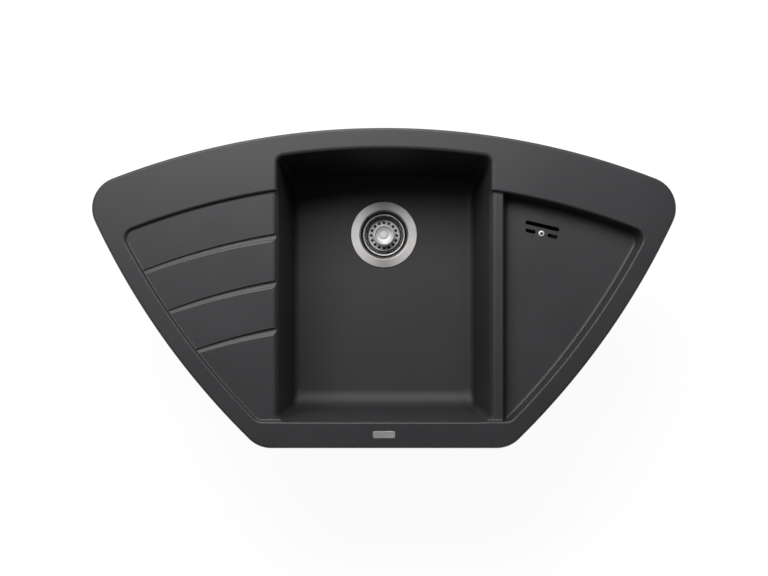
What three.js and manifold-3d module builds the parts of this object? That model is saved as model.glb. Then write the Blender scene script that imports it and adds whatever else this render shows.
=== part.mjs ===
// Inset corner sink of stone composite: main bowl, half bowl and grooved drainer, with its basket
// strainer waste, overflow and worktop clamps. Millimetres, x to the right, y to the back, z up.
// z = 0 is the worktop surface under the rim. The origin lies under the rim at the middle of the
// front ledge, seatInset in from the front edge.
import * as THREE from 'three';
import { mergeVertices } from 'three/addons/utils/BufferGeometryUtils.js';
import Module from 'manifold-3d';

const wasm = await Module();
wasm.setup();

// Rim: a straight front edge, and arcs at the back and both sides.
const rimDepth = 510; // front edge to the crown of the back
const frontSpan = 399.2; // between the front corners before they are rounded
const backSpan = 963.3; // between the back corners before they are rounded, 930 after
const backRadius = 1200;
const sideRadius = 1200;
const rimCorner = 50;
const rimHeight = 8;
const rimRound = 4;
const rimChamfer = 1;
const seatInset = 12;

// Recess shared by the drainer, the ridge and the half bowl. Its edge is the middle of the step.
const frontLedge = 43;
const sideLedge = 29.9;
const backLedge = 86.4;
const recessDepth = 6;
const stepRound = 4; // at the top of the step
const stepFillet = 3.5; // at its foot
const recessFrontCorner = 18;
const recessBackCorner = 16;

// Main bowl
const bowlWidth = 340;
const bowlBackLedge = 34.5; // behind the bowl, to the crown of the rim
const bowlDepth = 190; // rim to floor at the drain
const bowlCorner = 11;
const bowlRound = 6; // edge at rim level, in height
const bowlFrontRound = 4.2; // its widths
const bowlSideRound = 6;
const bowlBackRound = 6.5;
const drainerRound = 8.5; // edge at drainer level
const bowlSideDraft = 5;
const bowlBackDraft = 9;
const bowlFrontDraft = 2.5;
const bowlSideFillet = 12;
const bowlEndFillet = 30;

// Half bowl
const ridgeWidth = 20.7; // main bowl wall to half bowl wall
const ridgeRound = 2.5;
const halfDepth = 35;
const halfDraft = 12; // of the ridge
const halfSideDraft = 5;
const halfFillet = 5;
const halfFrontCorner = 3;
const halfInnerCorner = 2.5;

const wall = 9; // of the bowls and under the recess
const bowlFloor = 10;
const floorFall = 0.01; // of both bowl floors, towards their outlets

// Drainer grooves: arcs round the same centre as the back edge
const grooveCount = 3;
const grooveFirst = 67.1; // recess edge to the first groove's steep side
const grooveSpacing = 73.7;
const grooveWidth = 13.5;
const grooveSteep = 3; // width of the steep side
const grooveBed = 2;
const grooveShallow = 1.6; // depth at the outer end
const grooveDeep = 3.4; // depth at the bowl
const grooveTaper = 0.6; // share of the full width at the outer end

// Badge
const badgeLength = 35.5;
const badgeWidth = 11.2;
const badgeThickness = 0.8;
const badgeCorner = 2;
const badgePocket = 0.6;
const badgeInset = 21.8;

// Blind recesses under the back ledge, where a tap hole can be opened
const tapHole = 35;
const tapSkin = 3;
const tapSpacing = 460;
const tapInset = 42;

// Rim seal
const sealInset = 5;
const sealGrooveWidth = 5;
const sealGrooveDepth = 2;

// Basket strainer
const drainFromCrown = 163.5;
const drainHole = 90;
const flangeDiameter = 114;
const flangeThickness = 1.4;
const flangeProud = 0.4; // above the bowl floor
const flangeSealThickness = 1.2;
const cupMouth = 82;
const cupSheet = 1.2;
const cupThroat = 74; // inner width where the basket's rim stands
const cupThroatDepth = 15;
const cupSeatRadius = 32;
const cupSeatDepth = 42.8;
const outletRadius = 22; // hole in the cup's seat
const outletLip = 12.2; // below the seat
const spiderThickness = 4;
const spiderArm = 5;
const spiderHub = 7;

// Basket
const basketRim = 71.5;
const basketRimDepth = 14; // below the flange top
const basketFloorRadius = 27;
const basketFloorDepth = 36.4;
const basketCrown = 4.4; // rise of its middle
const basketSheet = 1;
const basketHoles = 16;
const basketHole = 5;
const basketHoleCircle = 44.5;
const basketSlot = 3.6;
const basketSlotHeight = 7;
const knobDiameter = 36;
const knobTop = 7; // below the flange top
const knobHeight = 8;
const knobDish = 29;
const knobCentre = 12;
const stemRadius = 3;
const stopperRadius = 28;
const stopperThickness = 3.6;
const stemNutRadius = 6;
const stemNutHeight = 3.6;

// Waste body under the bowl
const wasteSealThickness = 3;
const wasteFlange = 114;
const wasteFlangeThickness = 4;
const potRadius = 48;
const potWall = 3;
const potHeight = 62; // under its flange
const neckRadius = 23.9; // 1 1/2 inch pipe thread, 47.8 over the crests
const neckBore = 20;
const neckHeight = 26;
const coneHeight = 8;
const threadPitch = 4.6;
const threadDepth = 1.2;
const threadCount = 5;
const boltRadius = 3;
const boltHead = 6.5;
const boltHeadHeight = 3.6;
const boltNut = 5.5;
const boltNutHeight = 4;
const boltEnd = 1.5; // past its nut
const driverSlot = 1.6;
const driverDepth = 1.4;

// Overflow in the half bowl
const overflowX = 254.1;
const overflowFromCrown = 167.4;
const overflowTurn = -13.25; // degrees, along the curved back wall
const longSlot = 56;
const longSlotWidth = 6.4;
const longSlotShift = -1.5;
const longSlotOffset = 12.6; // screw to slot
const shortSlot = 17;
const shortSlotWidth = 6;
const shortSlotOffset = 18.2; // screw to the middle of each slot
const overflowFlat = 34; // radius of the level patch round the screw
const screwHead = 10.5;
const screwHeadHeight = 2;
const screwRadius = 2.5;
const screwLength = 30;
const screwSocket = 4; // across flats
const socketDepth = 1.4;
const housingLength = 74;
const housingWidth = 40;
const housingHeight = 26;
const housingCorner = 9;
const housingWall = 2.5;
const housingAcross = 6.5; // screw to housing centre, towards the long slot
const housingBoss = 6;
const overflowSealThickness = 2;
const overflowSealWidth = 5;

// Overflow hose and its clips
const spigotX = 16; // screw to the housing's spigot, in the housing's own directions
const spigotY = 8;
const spigotRadius = 9.7;
const spigotWall = 2.4;
const spigotLength = 22;
const hoseSides = 16;
const hoseRadius = 13.5;
const hoseBend = 55;
const hoseBendSteps = 10;
const inletDepth = 26.5; // waste flange to the middle of the inlet
const inletLength = 30; // beyond the pot
const clipBand = 1.2;
const clipWidth = 9;
const clipHousing = 14; // length of the worm housing
const clipHousingWidth = 11;
const clipHousingHeight = 8;
const wormRadius = 3;
const wormHeadRadius = 4;
const wormLength = 20;

// Worktop clamps
const studRadius = 3;
const studBottom = -74;
const anchorRadius = 4.6;
const anchorLength = 8;
const bossRadius = 8;
const bossBottom = -24;
const clipSheet = 2;
const clipBreadth = 18;
const clipRise = 12;
const clipTip = 11;
const clipTooth = 0.8;
const clipToothLength = 1.2;
const clipToothSlope = 0.6;
const clipHole = 3.6;
const clampRest = -58; // underside of the clip's foot
const clampMargin = 5; // rim edge to the tip of the turned-out clip
const nutRadius = 8.5;
const nutHeight = 8;
const nutGrips = 12;
const nutGrip = 1.2;
const frontClampX = 120;
const frontClampInset = 24;
const backClampX = 310;
const backClampInset = 34;
const cornerClampInset = 44;

const gap = 0.3; // between pieces that touch
const over = 1; // how far a cutting shape runs past what it cuts
const turns = 32; // facets of a round piece

const radians = THREE.MathUtils.degToRad;

// Levels
const recessZ = rimHeight - recessDepth;
const bowlZ = rimHeight - bowlDepth;
const halfZ = rimHeight - halfDepth;
const bowlUnderside = bowlZ - bowlFloor;
const halfUnderside = halfZ - wall;
const flangeZ = bowlZ + flangeProud;

// Plan: edges run anticlockwise. Each edge knows how far a point lies inside it, and which way is in.
const frontY = -seatInset;
const crownY = frontY + rimDepth;
const backCentre = new THREE.Vector2(0, crownY - backRadius);

const lineEdge = (x, y, nx, ny) => ({
  steps: 1,
  inside: (p) => ({ depth: (p.x - x) * nx + (p.y - y) * ny, nx, ny }),
});

const arcEdge = (centre, radius, steps) => ({
  centre,
  radius,
  steps,
  inside: (p) => {
    const reach = Math.hypot(centre.x - p.x, centre.y - p.y);
    return { depth: radius - reach, nx: (centre.x - p.x) / reach, ny: (centre.y - p.y) / reach };
  },
});

// The centre of an arc of the given radius through two points, on the left of the way from a to b.
function arcCentre(a, b, radius) {
  const half = b.clone().sub(a).multiplyScalar(0.5);
  const rise = Math.sqrt(radius ** 2 - half.lengthSq()) / half.length();
  return new THREE.Vector2(a.x + half.x - half.y * rise, a.y + half.y + half.x * rise);
}

const arcHeight = (centre, radius, x) => centre.y + Math.sqrt(radius ** 2 - (x - centre.x) ** 2);

const frontCorner = new THREE.Vector2(frontSpan / 2, frontY);
const backCorner = new THREE.Vector2(backSpan / 2, arcHeight(backCentre, backRadius, backSpan / 2));
const sideCentre = arcCentre(frontCorner, backCorner, sideRadius);
const mirrored = (p) => new THREE.Vector2(-p.x, p.y);

const front = (inset) => lineEdge(0, frontY + inset, 0, 1);
const back = (inset, steps) => arcEdge(backCentre, backRadius - inset, steps);
const rightSide = (inset, steps) => arcEdge(sideCentre, sideRadius - inset, steps);
const leftSide = (inset, steps) => arcEdge(mirrored(sideCentre), sideRadius - inset, steps);

// Where two edges meet when they are moved inwards by a and b, by Newton's method from a start.
function crossing(edgeA, a, edgeB, b, start) {
  const p = start.clone();
  for (let round = 0; round < 20; round += 1) {
    const f = edgeA.inside(p);
    const g = edgeB.inside(p);
    const scale = f.nx * g.ny - f.ny * g.nx;
    const df = a - f.depth;
    const dg = b - g.depth;
    p.x += (df * g.ny - dg * f.ny) / scale;
    p.y += (dg * f.nx - df * g.nx) / scale;
  }
  return p;
}

const pick = (value, i) => (Array.isArray(value) ? value[i] : value);

// A closed outline of a plan's edges moved inwards, its corners rounded. inset is one value, or one
// for each edge, and radius one for each corner: corner i follows edge i.
function outline(plan, inset, radius, cornerSteps = plan.cornerSteps) {
  const count = plan.edges.length;
  const corners = plan.edges.map((edge, i) => {
    const next = plan.edges[(i + 1) % count];
    const r = pick(radius, i);
    const centre = crossing(
      edge, pick(inset, i) + r, next, pick(inset, (i + 1) % count) + r, plan.corners[i]);
    const from = edge.inside(centre);
    const to = next.inside(centre);
    const start = Math.atan2(-from.ny, -from.nx);
    let sweep = Math.atan2(-to.ny, -to.nx) - start;
    if (sweep < 0) sweep += 2 * Math.PI;
    const at = (share) => new THREE.Vector2(
      centre.x + r * Math.cos(start + share * sweep), centre.y + r * Math.sin(start + share * sweep));
    return { at };
  });
  const points = [];
  plan.edges.forEach((edge, i) => {
    const begin = corners[(i + count - 1) % count].at(1);
    const end = corners[i].at(0);
    if (edge.centre) {
      const r = edge.radius - pick(inset, i);
      const a0 = Math.atan2(begin.y - edge.centre.y, begin.x - edge.centre.x);
      const a1 = Math.atan2(end.y - edge.centre.y, end.x - edge.centre.x);
      for (let k = 1; k < edge.steps; k += 1) {
        const a = a0 + ((a1 - a0) * k) / edge.steps;
        points.push(new THREE.Vector2(edge.centre.x + r * Math.cos(a), edge.centre.y + r * Math.sin(a)));
      }
    }
    for (let k = 0; k <= cornerSteps; k += 1) points.push(corners[i].at(k / cornerSteps));
  });
  return points;
}

const bowlHalf = bowlWidth / 2;
const halfLeft = bowlHalf + ridgeWidth;

function planOf(edges, starts, cornerSteps) {
  const corners = edges.map((edge, i) => crossing(
    edge, 0, edges[(i + 1) % edges.length], 0, starts[i]));
  return { edges, corners, cornerSteps };
}

const leftCorner = mirrored(backCorner);
const leftFront = mirrored(frontCorner);
const rimPlan = planOf(
  [front(0), rightSide(0, 8), back(0, 16), leftSide(0, 8)],
  [frontCorner, backCorner, leftCorner, leftFront], 6);
const recessPlan = planOf(
  [front(frontLedge), rightSide(sideLedge, 8), back(backLedge, 16), leftSide(sideLedge, 8)],
  [frontCorner, backCorner, leftCorner, leftFront], 4);
const recessCorners = [recessFrontCorner, recessBackCorner, recessBackCorner, recessFrontCorner];
const bowlPlan = planOf(
  [front(frontLedge), lineEdge(bowlHalf, 0, -1, 0), back(bowlBackLedge, 8), lineEdge(-bowlHalf, 0, 1, 0)],
  [new THREE.Vector2(bowlHalf, frontY), new THREE.Vector2(bowlHalf, crownY),
    new THREE.Vector2(-bowlHalf, crownY), new THREE.Vector2(-bowlHalf, frontY)], 4);
const halfPlan = planOf(
  [rightSide(sideLedge, 8), back(backLedge, 6), lineEdge(halfLeft, 0, 1, 0)],
  [backCorner, new THREE.Vector2(halfLeft, crownY), new THREE.Vector2(halfLeft, frontY)], 4);

// Solids
function solidOf(geometry) {
  let g = geometry.clone();
  g.deleteAttribute('normal');
  g.deleteAttribute('uv');
  g = mergeVertices(g, 1e-4);
  const vertProperties = new Float32Array(g.attributes.position.array);
  const triVerts = new Uint32Array(g.index.array);
  return new wasm.Manifold(new wasm.Mesh({ numProp: 3, vertProperties, triVerts }));
}

function geometryOf(solid) {
  const { vertProperties, triVerts } = solid.getMesh();
  const geometry = new THREE.BufferGeometry();
  geometry.setAttribute('position', new THREE.BufferAttribute(new Float32Array(vertProperties), 3));
  geometry.setIndex(new THREE.BufferAttribute(new Uint32Array(triVerts), 1));
  geometry.computeVertexNormals();
  return geometry;
}

const joined = (...solids) => solids.reduce((whole, solid) => whole.add(solid));
const without = (whole, ...tools) => tools.reduce((rest, tool) => rest.subtract(tool), whole);

// Turns the faces of a closed geometry outwards.
function facingOut(geometry) {
  const g = geometry.index ? geometry : mergeVertices(geometry);
  const { array } = g.index;
  const [a, b, c] = [new THREE.Vector3(), new THREE.Vector3(), new THREE.Vector3()];
  let volume = 0;
  for (let i = 0; i < array.length; i += 3) {
    a.fromBufferAttribute(g.attributes.position, array[i]);
    b.fromBufferAttribute(g.attributes.position, array[i + 1]);
    c.fromBufferAttribute(g.attributes.position, array[i + 2]);
    volume += a.dot(b.cross(c));
  }
  if (volume < 0) {
    for (let i = 0; i < array.length; i += 3) [array[i], array[i + 1]] = [array[i + 1], array[i]];
    g.computeVertexNormals();
  }
  return g;
}

// Rings of equal length from the bottom up, skinned and capped. Each ring is a list of Vector3.
function loft(rings) {
  const size = rings[0].length;
  const positions = rings.flat().flatMap((p) => [p.x, p.y, p.z]);
  const index = [];
  for (let k = 0; k + 1 < rings.length; k += 1) {
    for (let i = 0; i < size; i += 1) {
      const j = (i + 1) % size;
      const [a, b] = [k * size + i, k * size + j];
      index.push(a, b, b + size, a, b + size, a + size);
    }
  }
  const cap = (ring) => THREE.ShapeUtils.triangulateShape(
    ring.map((p) => new THREE.Vector2(p.x, p.y)), []);
  cap(rings[0]).forEach(([a, b, c]) => index.push(a, c, b));
  const top = (rings.length - 1) * size;
  cap(rings[rings.length - 1]).forEach(([a, b, c]) => index.push(top + a, top + b, top + c));
  const geometry = new THREE.BufferGeometry();
  geometry.setAttribute('position', new THREE.Float32BufferAttribute(positions, 3));
  geometry.setIndex(index);
  geometry.computeVertexNormals();
  return geometry;
}

const level = (points, z) => points.map((p) => new THREE.Vector3(p.x, p.y, z));
const sloped = (points, zAt) => points.map((p) => new THREE.Vector3(p.x, p.y, zAt(p)));

// A turned piece about z. The profile is [radius, z] points; one that is off the axis is closed.
function turned(profile, segments = turns) {
  const points = profile.map(([r, z]) => new THREE.Vector2(r, z));
  if (profile[0][0] > 0) points.push(points[0].clone());
  const geometry = new THREE.LatheGeometry(points, segments);
  geometry.rotateX(Math.PI / 2);
  geometry.deleteAttribute('normal');
  geometry.deleteAttribute('uv');
  return facingOut(mergeVertices(geometry, 1e-4));
}

const rod = (radius, z0, z1, segments = turns) => turned(
  [[0, z0], [radius, z0], [radius, z1], [0, z1]], segments);
const tube = (inner, outer, z0, z1, segments = turns) => turned(
  [[inner, z0], [outer, z0], [outer, z1], [inner, z1]], segments);

function slab(points, z0, z1, holes = []) {
  const shape = new THREE.Shape(points);
  holes.forEach((hole) => shape.holes.push(new THREE.Path(hole)));
  const geometry = new THREE.ExtrudeGeometry(shape, { depth: z1 - z0, bevelEnabled: false });
  return geometry.translate(0, 0, z0);
}

function roundedRectangle(length, width, radius, steps = 4) {
  const shape = new THREE.Shape();
  const [x, y] = [length / 2 - radius, width / 2 - radius];
  shape.absarc(x, -y, radius, -Math.PI / 2, 0);
  shape.absarc(x, y, radius, 0, Math.PI / 2);
  shape.absarc(-x, y, radius, Math.PI / 2, Math.PI);
  shape.absarc(-x, -y, radius, Math.PI, 1.5 * Math.PI);
  const points = shape.getPoints(steps);
  return points.filter((p, i) => p.distanceTo(points[(i + 1) % points.length]) > 1e-6);
}

const polygon = (radius, sides) => Array.from({ length: sides }, (_, i) => new THREE.Vector2(
  radius * Math.cos((2 * Math.PI * i) / sides), radius * Math.sin((2 * Math.PI * i) / sides)));

const placed = (geometry, x, y, z = 0, turn = 0) => geometry.rotateZ(turn).translate(x, y, z);
const around = (count, make) => Array.from({ length: count }, (_, i) => make((2 * Math.PI * i) / count));

// How far a quarter round of the given radius reaches in, at a height above where it ends.
const quarter = (radius, height) => radius - Math.sqrt(Math.max(0, radius ** 2 - (radius - height) ** 2));
const shares = (count) => Array.from({ length: count + 1 }, (_, i) => i / count);
const fallTo = (centre, flat, z, share = 1) => (p) => z
  + share * floorFall * Math.max(0, p.distanceTo(centre) - flat);

const drain = new THREE.Vector2(0, crownY - drainFromCrown);
const overflow = new THREE.Vector2(overflowX, crownY - overflowFromCrown);
const seatRadius = flangeDiameter / 2 + 2 * gap;
const seatDepth = flangeThickness - flangeProud + flangeSealThickness + 2 * gap;

// The points of a circle in the directions that the outline's points have from its centre.
const circleUnder = (points, centre, radius) => points.map((p) => {
  const way = p.clone().sub(centre).setLength(radius);
  return centre.clone().add(way);
});

// Inset of each wall of a bowl at a level: its draft, and the fillet at its foot.
function wallInsets(level0, level1, drafts, fillets, grow, z) {
  return drafts.map((draft, i) => {
    const height = z - level1;
    const fillet = height < fillets[i] + grow ? quarter(fillets[i] + grow, height) : 0;
    return Math.max(0, level0 - z) * Math.tan(radians(draft)) + fillet - grow;
  });
}

const bowlDrafts = [bowlFrontDraft, bowlSideDraft, bowlBackDraft, bowlSideDraft];
const bowlFillets = [bowlEndFillet, bowlSideFillet, bowlEndFillet, bowlSideFillet];
const bowlRounds = [bowlFrontRound, bowlSideRound, bowlBackRound, bowlSideRound];
const bowlTop = rimHeight - bowlRound;
const bowlInsets = (z, grow = 0) => wallInsets(
  bowlTop, bowlZ - (grow ? bowlFloor : 0), bowlDrafts, bowlFillets, grow, z);

// Levels of a fillet's rings, from its foot up.
const filletLevels = (foot, radius, steps) => shares(steps).map(
  (share) => foot + radius * (1 - Math.cos((share * Math.PI) / 2)));

function bowlHollow() {
  const floor = outline(bowlPlan, bowlInsets(bowlZ), bowlCorner);
  const rings = [
    level(circleUnder(floor, drain, seatRadius), bowlZ),
    sloped(floor, fallTo(drain, seatRadius, bowlZ)),
  ];
  filletLevels(bowlZ, bowlEndFillet, 5).slice(1).forEach((z) => {
    const fall = fallTo(drain, seatRadius, z, 1 - (z - bowlZ) / bowlEndFillet);
    rings.push(sloped(outline(bowlPlan, bowlInsets(z), bowlCorner), fall));
  });
  const flared = (share) => outline(
    bowlPlan, bowlRounds.map((round) => -round * share), bowlCorner + bowlSideRound * share);
  shares(4).forEach((share) => {
    const angle = (share * Math.PI) / 2;
    rings.push(level(flared(1 - Math.cos(angle)), bowlTop + bowlRound * Math.sin(angle)));
  });
  rings.push(level(flared(1), rimHeight + over));
  return loft(rings);
}

function bowlShell() {
  const rings = filletLevels(bowlUnderside, bowlEndFillet + wall, 4).map(
    (z) => level(outline(bowlPlan, bowlInsets(z, wall), bowlCorner + wall), z));
  rings.push(level(outline(bowlPlan, -wall, bowlCorner + wall), over));
  return loft(rings);
}

// The step from the rim into the recess: convex above, concave below, in one S.
const stepAngle = Math.acos(1 - recessDepth / (stepRound + stepFillet));
const stepMiddle = rimHeight - stepRound * (1 - Math.cos(stepAngle));

function recessHollow() {
  const corners = (inset) => recessCorners.map((r) => Math.max(r - inset, 1));
  const rings = shares(3).map((share) => {
    const angle = stepAngle * share;
    const inset = stepFillet * (Math.sin(stepAngle) - Math.sin(angle));
    return level(outline(recessPlan, inset, corners(inset)), recessZ + stepFillet * (1 - Math.cos(angle)));
  });
  shares(3).slice(1).forEach((share) => {
    const angle = stepAngle * (1 - share);
    const inset = -stepRound * (Math.sin(stepAngle) - Math.sin(angle));
    const z = rimHeight - stepRound * (1 - Math.cos(angle));
    rings.push(level(outline(recessPlan, inset, corners(inset)), z));
  });
  const widest = -stepRound * Math.sin(stepAngle);
  rings.push(level(outline(recessPlan, widest, corners(widest)), rimHeight + over));
  return loft(rings);
}

// The rounding where the drainer and the ridge meet the main bowl, kept to the recess.
function drainerEdge() {
  const rings = shares(4).map((share) => {
    const angle = (share * Math.PI) / 2;
    const flare = drainerRound * (1 - Math.cos(angle));
    const z = recessZ - drainerRound + drainerRound * Math.sin(angle);
    return level(outline(bowlPlan, -flare, bowlCorner + flare), z);
  });
  rings.push(level(outline(bowlPlan, -drainerRound, bowlCorner + drainerRound), rimHeight + over));
  const foot = stepFillet * Math.sin(stepAngle);
  const region = slab(outline(recessPlan, foot, recessCorners), recessZ - drainerRound - over, rimHeight);
  return solidOf(loft(rings)).intersect(solidOf(region));
}

// Half bowl: its side and back walls run on from the step, its left wall starts at the ridge.
const stepDraft = 90 - THREE.MathUtils.radToDeg(stepAngle);
const halfDrafts = [halfSideDraft, stepDraft, halfDraft];
const halfFillets = [halfFillet, halfFillet, halfFillet];

function halfInsets(z) {
  const walls = wallInsets(stepMiddle, halfZ, halfDrafts, halfFillets, 0, z);
  const ridgeFoot = recessZ - ridgeRound;
  const fillet = z - halfZ < halfFillet ? quarter(halfFillet, z - halfZ) : 0;
  const left = z < ridgeFoot
    ? (ridgeFoot - z) * Math.tan(radians(halfDraft)) + fillet
    : -quarter(ridgeRound, Math.max(0, recessZ - z));
  return [walls[0], walls[1], left];
}

const halfCorners = [recessBackCorner, halfInnerCorner, halfFrontCorner];

function halfHollow() {
  const floor = outline(halfPlan, halfInsets(halfZ), halfCorners);
  const rings = [
    level(circleUnder(floor, overflow, overflowFlat), halfZ),
    sloped(floor, fallTo(overflow, overflowFlat, halfZ)),
  ];
  filletLevels(halfZ, halfFillet, 3).slice(1).forEach((z) => {
    const fall = fallTo(overflow, overflowFlat, z, 1 - (z - halfZ) / halfFillet);
    rings.push(sloped(outline(halfPlan, halfInsets(z), halfCorners), fall));
  });
  const ridgeLevels = shares(2).map((share) => recessZ - ridgeRound * (1 - Math.sin((share * Math.PI) / 2)));
  [...ridgeLevels, stepMiddle].forEach((z) => {
    rings.push(level(outline(halfPlan, halfInsets(z), halfCorners), z));
  });
  const inside = [over / 2, over / 2, -ridgeRound];
  rings.push(level(outline(halfPlan, inside, halfCorners), stepMiddle + over));
  rings.push(level(outline(halfPlan, inside, halfCorners), rimHeight + over));
  const region = slab(outline(recessPlan, 0, recessCorners), halfZ - over, rimHeight + 2 * over);
  return solidOf(loft(rings)).intersect(solidOf(region));
}

function halfShell() {
  const corners = halfCorners.map((r) => r + wall);
  const grown = (z) => wallInsets(recessZ, halfUnderside, halfDrafts, halfFillets, wall, z);
  const rings = filletLevels(halfUnderside, halfFillet + wall, 3).map(
    (z) => level(outline(halfPlan, grown(z), corners), z));
  rings.push(level(outline(halfPlan, grown(recessZ), corners), over));
  return loft(rings);
}

function recessShell() {
  const corners = recessCorners.map((r) => r + wall);
  const low = recessZ - wall;
  const rings = filletLevels(low, rimRound, 2).map(
    (z) => level(outline(recessPlan, quarter(rimRound, z - low) - wall, corners), z));
  rings.push(level(outline(recessPlan, -wall, corners), over));
  return loft(rings);
}

function rimPlate() {
  const rings = [
    level(outline(rimPlan, rimChamfer, rimCorner - rimChamfer), 0),
    level(outline(rimPlan, 0, rimCorner), rimChamfer),
  ];
  shares(4).forEach((share) => {
    const angle = (share * Math.PI) / 2;
    const inset = rimRound * (1 - Math.cos(angle));
    rings.push(level(
      outline(rimPlan, inset, rimCorner - inset), rimHeight - rimRound * (1 - Math.sin(angle))));
  });
  return loft(rings);
}

// One groove: a steep side towards the back, a bed, and a gentle side towards the front. It opens into
// the foot of the step at its outer end and into the bowl at the other.
function drainerGroove(number) {
  const radius = backRadius - backLedge - grooveFirst - number * grooveSpacing;
  const ridge = arcEdge(backCentre, radius, 1);
  const outer = crossing(
    leftSide(sideLedge, 1), -stepRound, ridge, 0, leftCorner.clone().lerp(leftFront, 0.5));
  const begin = Math.atan2(outer.y - backCentre.y, outer.x - backCentre.x);
  const end = Math.acos((over - bowlHalf) / radius);
  const steps = 10;
  const section = (share) => {
    const angle = begin + (end - begin) * share;
    const depth = grooveShallow + (grooveDeep - grooveShallow) * share;
    const scale = grooveTaper + (1 - grooveTaper) * share;
    const ray = (inwards, z) => new THREE.Vector3(
      backCentre.x + (radius - inwards * scale) * Math.cos(angle),
      backCentre.y + (radius - inwards * scale) * Math.sin(angle), z);
    return [
      ray(-gap, recessZ + over), ray(0, recessZ), ray(grooveSteep, recessZ - depth),
      ray(grooveSteep + grooveBed, recessZ - depth), ray(grooveWidth, recessZ),
      ray(grooveWidth + gap, recessZ + over),
    ];
  };
  const rings = shares(steps).map(section);
  const size = rings[0].length;
  const index = [];
  for (let k = 0; k < steps; k += 1) {
    for (let i = 0; i < size; i += 1) {
      const [a, b] = [k * size + i, k * size + ((i + 1) % size)];
      index.push(a, b, b + size, a, b + size, a + size);
    }
  }
  const last = steps * size;
  for (let i = 1; i + 1 < size; i += 1) {
    index.push(0, i + 1, i, last, last + i, last + i + 1);
  }
  const geometry = new THREE.BufferGeometry();
  geometry.setAttribute(
    'position', new THREE.Float32BufferAttribute(rings.flat().flatMap((p) => p.toArray()), 3));
  geometry.setIndex(index);
  const foot = (stepFillet * Math.sin(stepAngle)) / 2;
  const region = slab(outline(recessPlan, foot, recessCorners), recessZ - grooveDeep - over, rimHeight);
  return solidOf(facingOut(geometry)).intersect(solidOf(region));
}

// Places beside the overflow screw, along and across the slots.
const overflowAngle = radians(overflowTurn);
const byOverflow = (along, across) => new THREE.Vector2(along, across)
  .rotateAround(new THREE.Vector2(), overflowAngle).add(overflow);

const overflowSlots = [
  { along: longSlotShift, across: longSlotOffset, length: longSlot, width: longSlotWidth },
  { along: -shortSlotOffset, across: 0, length: shortSlot, width: shortSlotWidth },
  { along: shortSlotOffset, across: 0, length: shortSlot, width: shortSlotWidth },
];

function overflowCuts() {
  const slots = overflowSlots.map(({ along, across, length, width }) => {
    const place = byOverflow(along, across);
    const shape = roundedRectangle(length, width, width / 2 - 0.01, 3);
    return placed(slab(shape, halfUnderside - over, halfZ + over), place.x, place.y, 0, overflowAngle);
  });
  const hole = placed(
    rod(screwRadius + 2 * gap, halfUnderside - over, halfZ + over, 12), overflow.x, overflow.y);
  return [...slots, hole].map(solidOf);
}

// Clamps: where each one hangs, and which way its clip turns out.
const across = (x) => lineEdge(x, 0, 1, 0);

function clampAt(edge, inset, x, near) {
  const p = crossing(edge, inset, across(x), 0, near);
  const { nx, ny } = edge.inside(p);
  return { x: p.x, y: p.y, outwards: Math.atan2(-ny, -nx), inset };
}

function clampInCorner(edgeA, edgeB, inset, near) {
  const centre = crossing(edgeA, rimCorner, edgeB, rimCorner, near);
  const [a, b] = [edgeA.inside(centre), edgeB.inside(centre)];
  const outwards = Math.atan2(-a.ny - b.ny, -a.nx - b.nx);
  const place = new THREE.Vector2(rimCorner - inset, 0).rotateAround(new THREE.Vector2(), outwards);
  place.add(centre);
  return { x: place.x, y: place.y, outwards, inset };
}

const clampPlaces = {
  front_left: clampAt(front(0), frontClampInset, -frontClampX, leftFront),
  front_right: clampAt(front(0), frontClampInset, frontClampX, frontCorner),
  corner_right: clampInCorner(rightSide(0, 1), back(0, 1), cornerClampInset, backCorner),
  back_right: clampAt(back(0, 1), backClampInset, backClampX, backCorner),
  back_left: clampAt(back(0, 1), backClampInset, -backClampX, leftCorner),
  corner_left: clampInCorner(back(0, 1), leftSide(0, 1), cornerClampInset, leftCorner),
};

const tapPlaces = [-1, 1].map((side) => {
  const x = (side * tapSpacing) / 2;
  return new THREE.Vector2(x, arcHeight(backCentre, backRadius - tapInset, x));
});

function sinkBody() {
  const bosses = Object.values(clampPlaces).map(({ x, y }) => solidOf(
    placed(rod(bossRadius, bossBottom, over, 16), x, y)));
  const body = joined(
    ...[rimPlate(), recessShell(), halfShell(), bowlShell()].map(solidOf), ...bosses);
  const anchorHoles = Object.values(clampPlaces).map(({ x, y }) => solidOf(
    placed(rod(anchorRadius + gap, bossBottom - over, bossBottom + anchorLength + gap, 12), x, y)));
  const tapHoles = tapPlaces.map((p) => solidOf(
    placed(rod(tapHole / 2, -over, rimHeight - tapSkin, 24), p.x, p.y)));
  const sealGroove = slab(
    outline(rimPlan, sealInset, rimCorner - sealInset), -over, sealGrooveDepth,
    [outline(rimPlan, sealInset + sealGrooveWidth, rimCorner - sealInset - sealGrooveWidth)]);
  const pocket = placed(
    slab(roundedRectangle(badgeLength + 2 * gap, badgeWidth + 2 * gap, badgeCorner + gap, 3),
      rimHeight - badgePocket, rimHeight + over), 0, frontY + badgeInset);
  const drainSeat = placed(rod(seatRadius, bowlZ - seatDepth, bowlZ + over, turns), drain.x, drain.y);
  const drainBore = placed(rod(drainHole / 2, bowlUnderside - over, bowlZ, turns), drain.x, drain.y);
  const grooves = Array.from({ length: grooveCount }, (_, i) => drainerGroove(i));
  return without(
    body,
    ...[recessHollow(), bowlHollow(), sealGroove, pocket, drainSeat, drainBore].map(solidOf),
    halfHollow(), drainerEdge(), ...grooves, ...overflowCuts(), ...anchorHoles, ...tapHoles);
}

// Basket strainer, turned about the drain. Levels are measured from the flange top.
const down = (depth) => flangeZ - depth;

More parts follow.
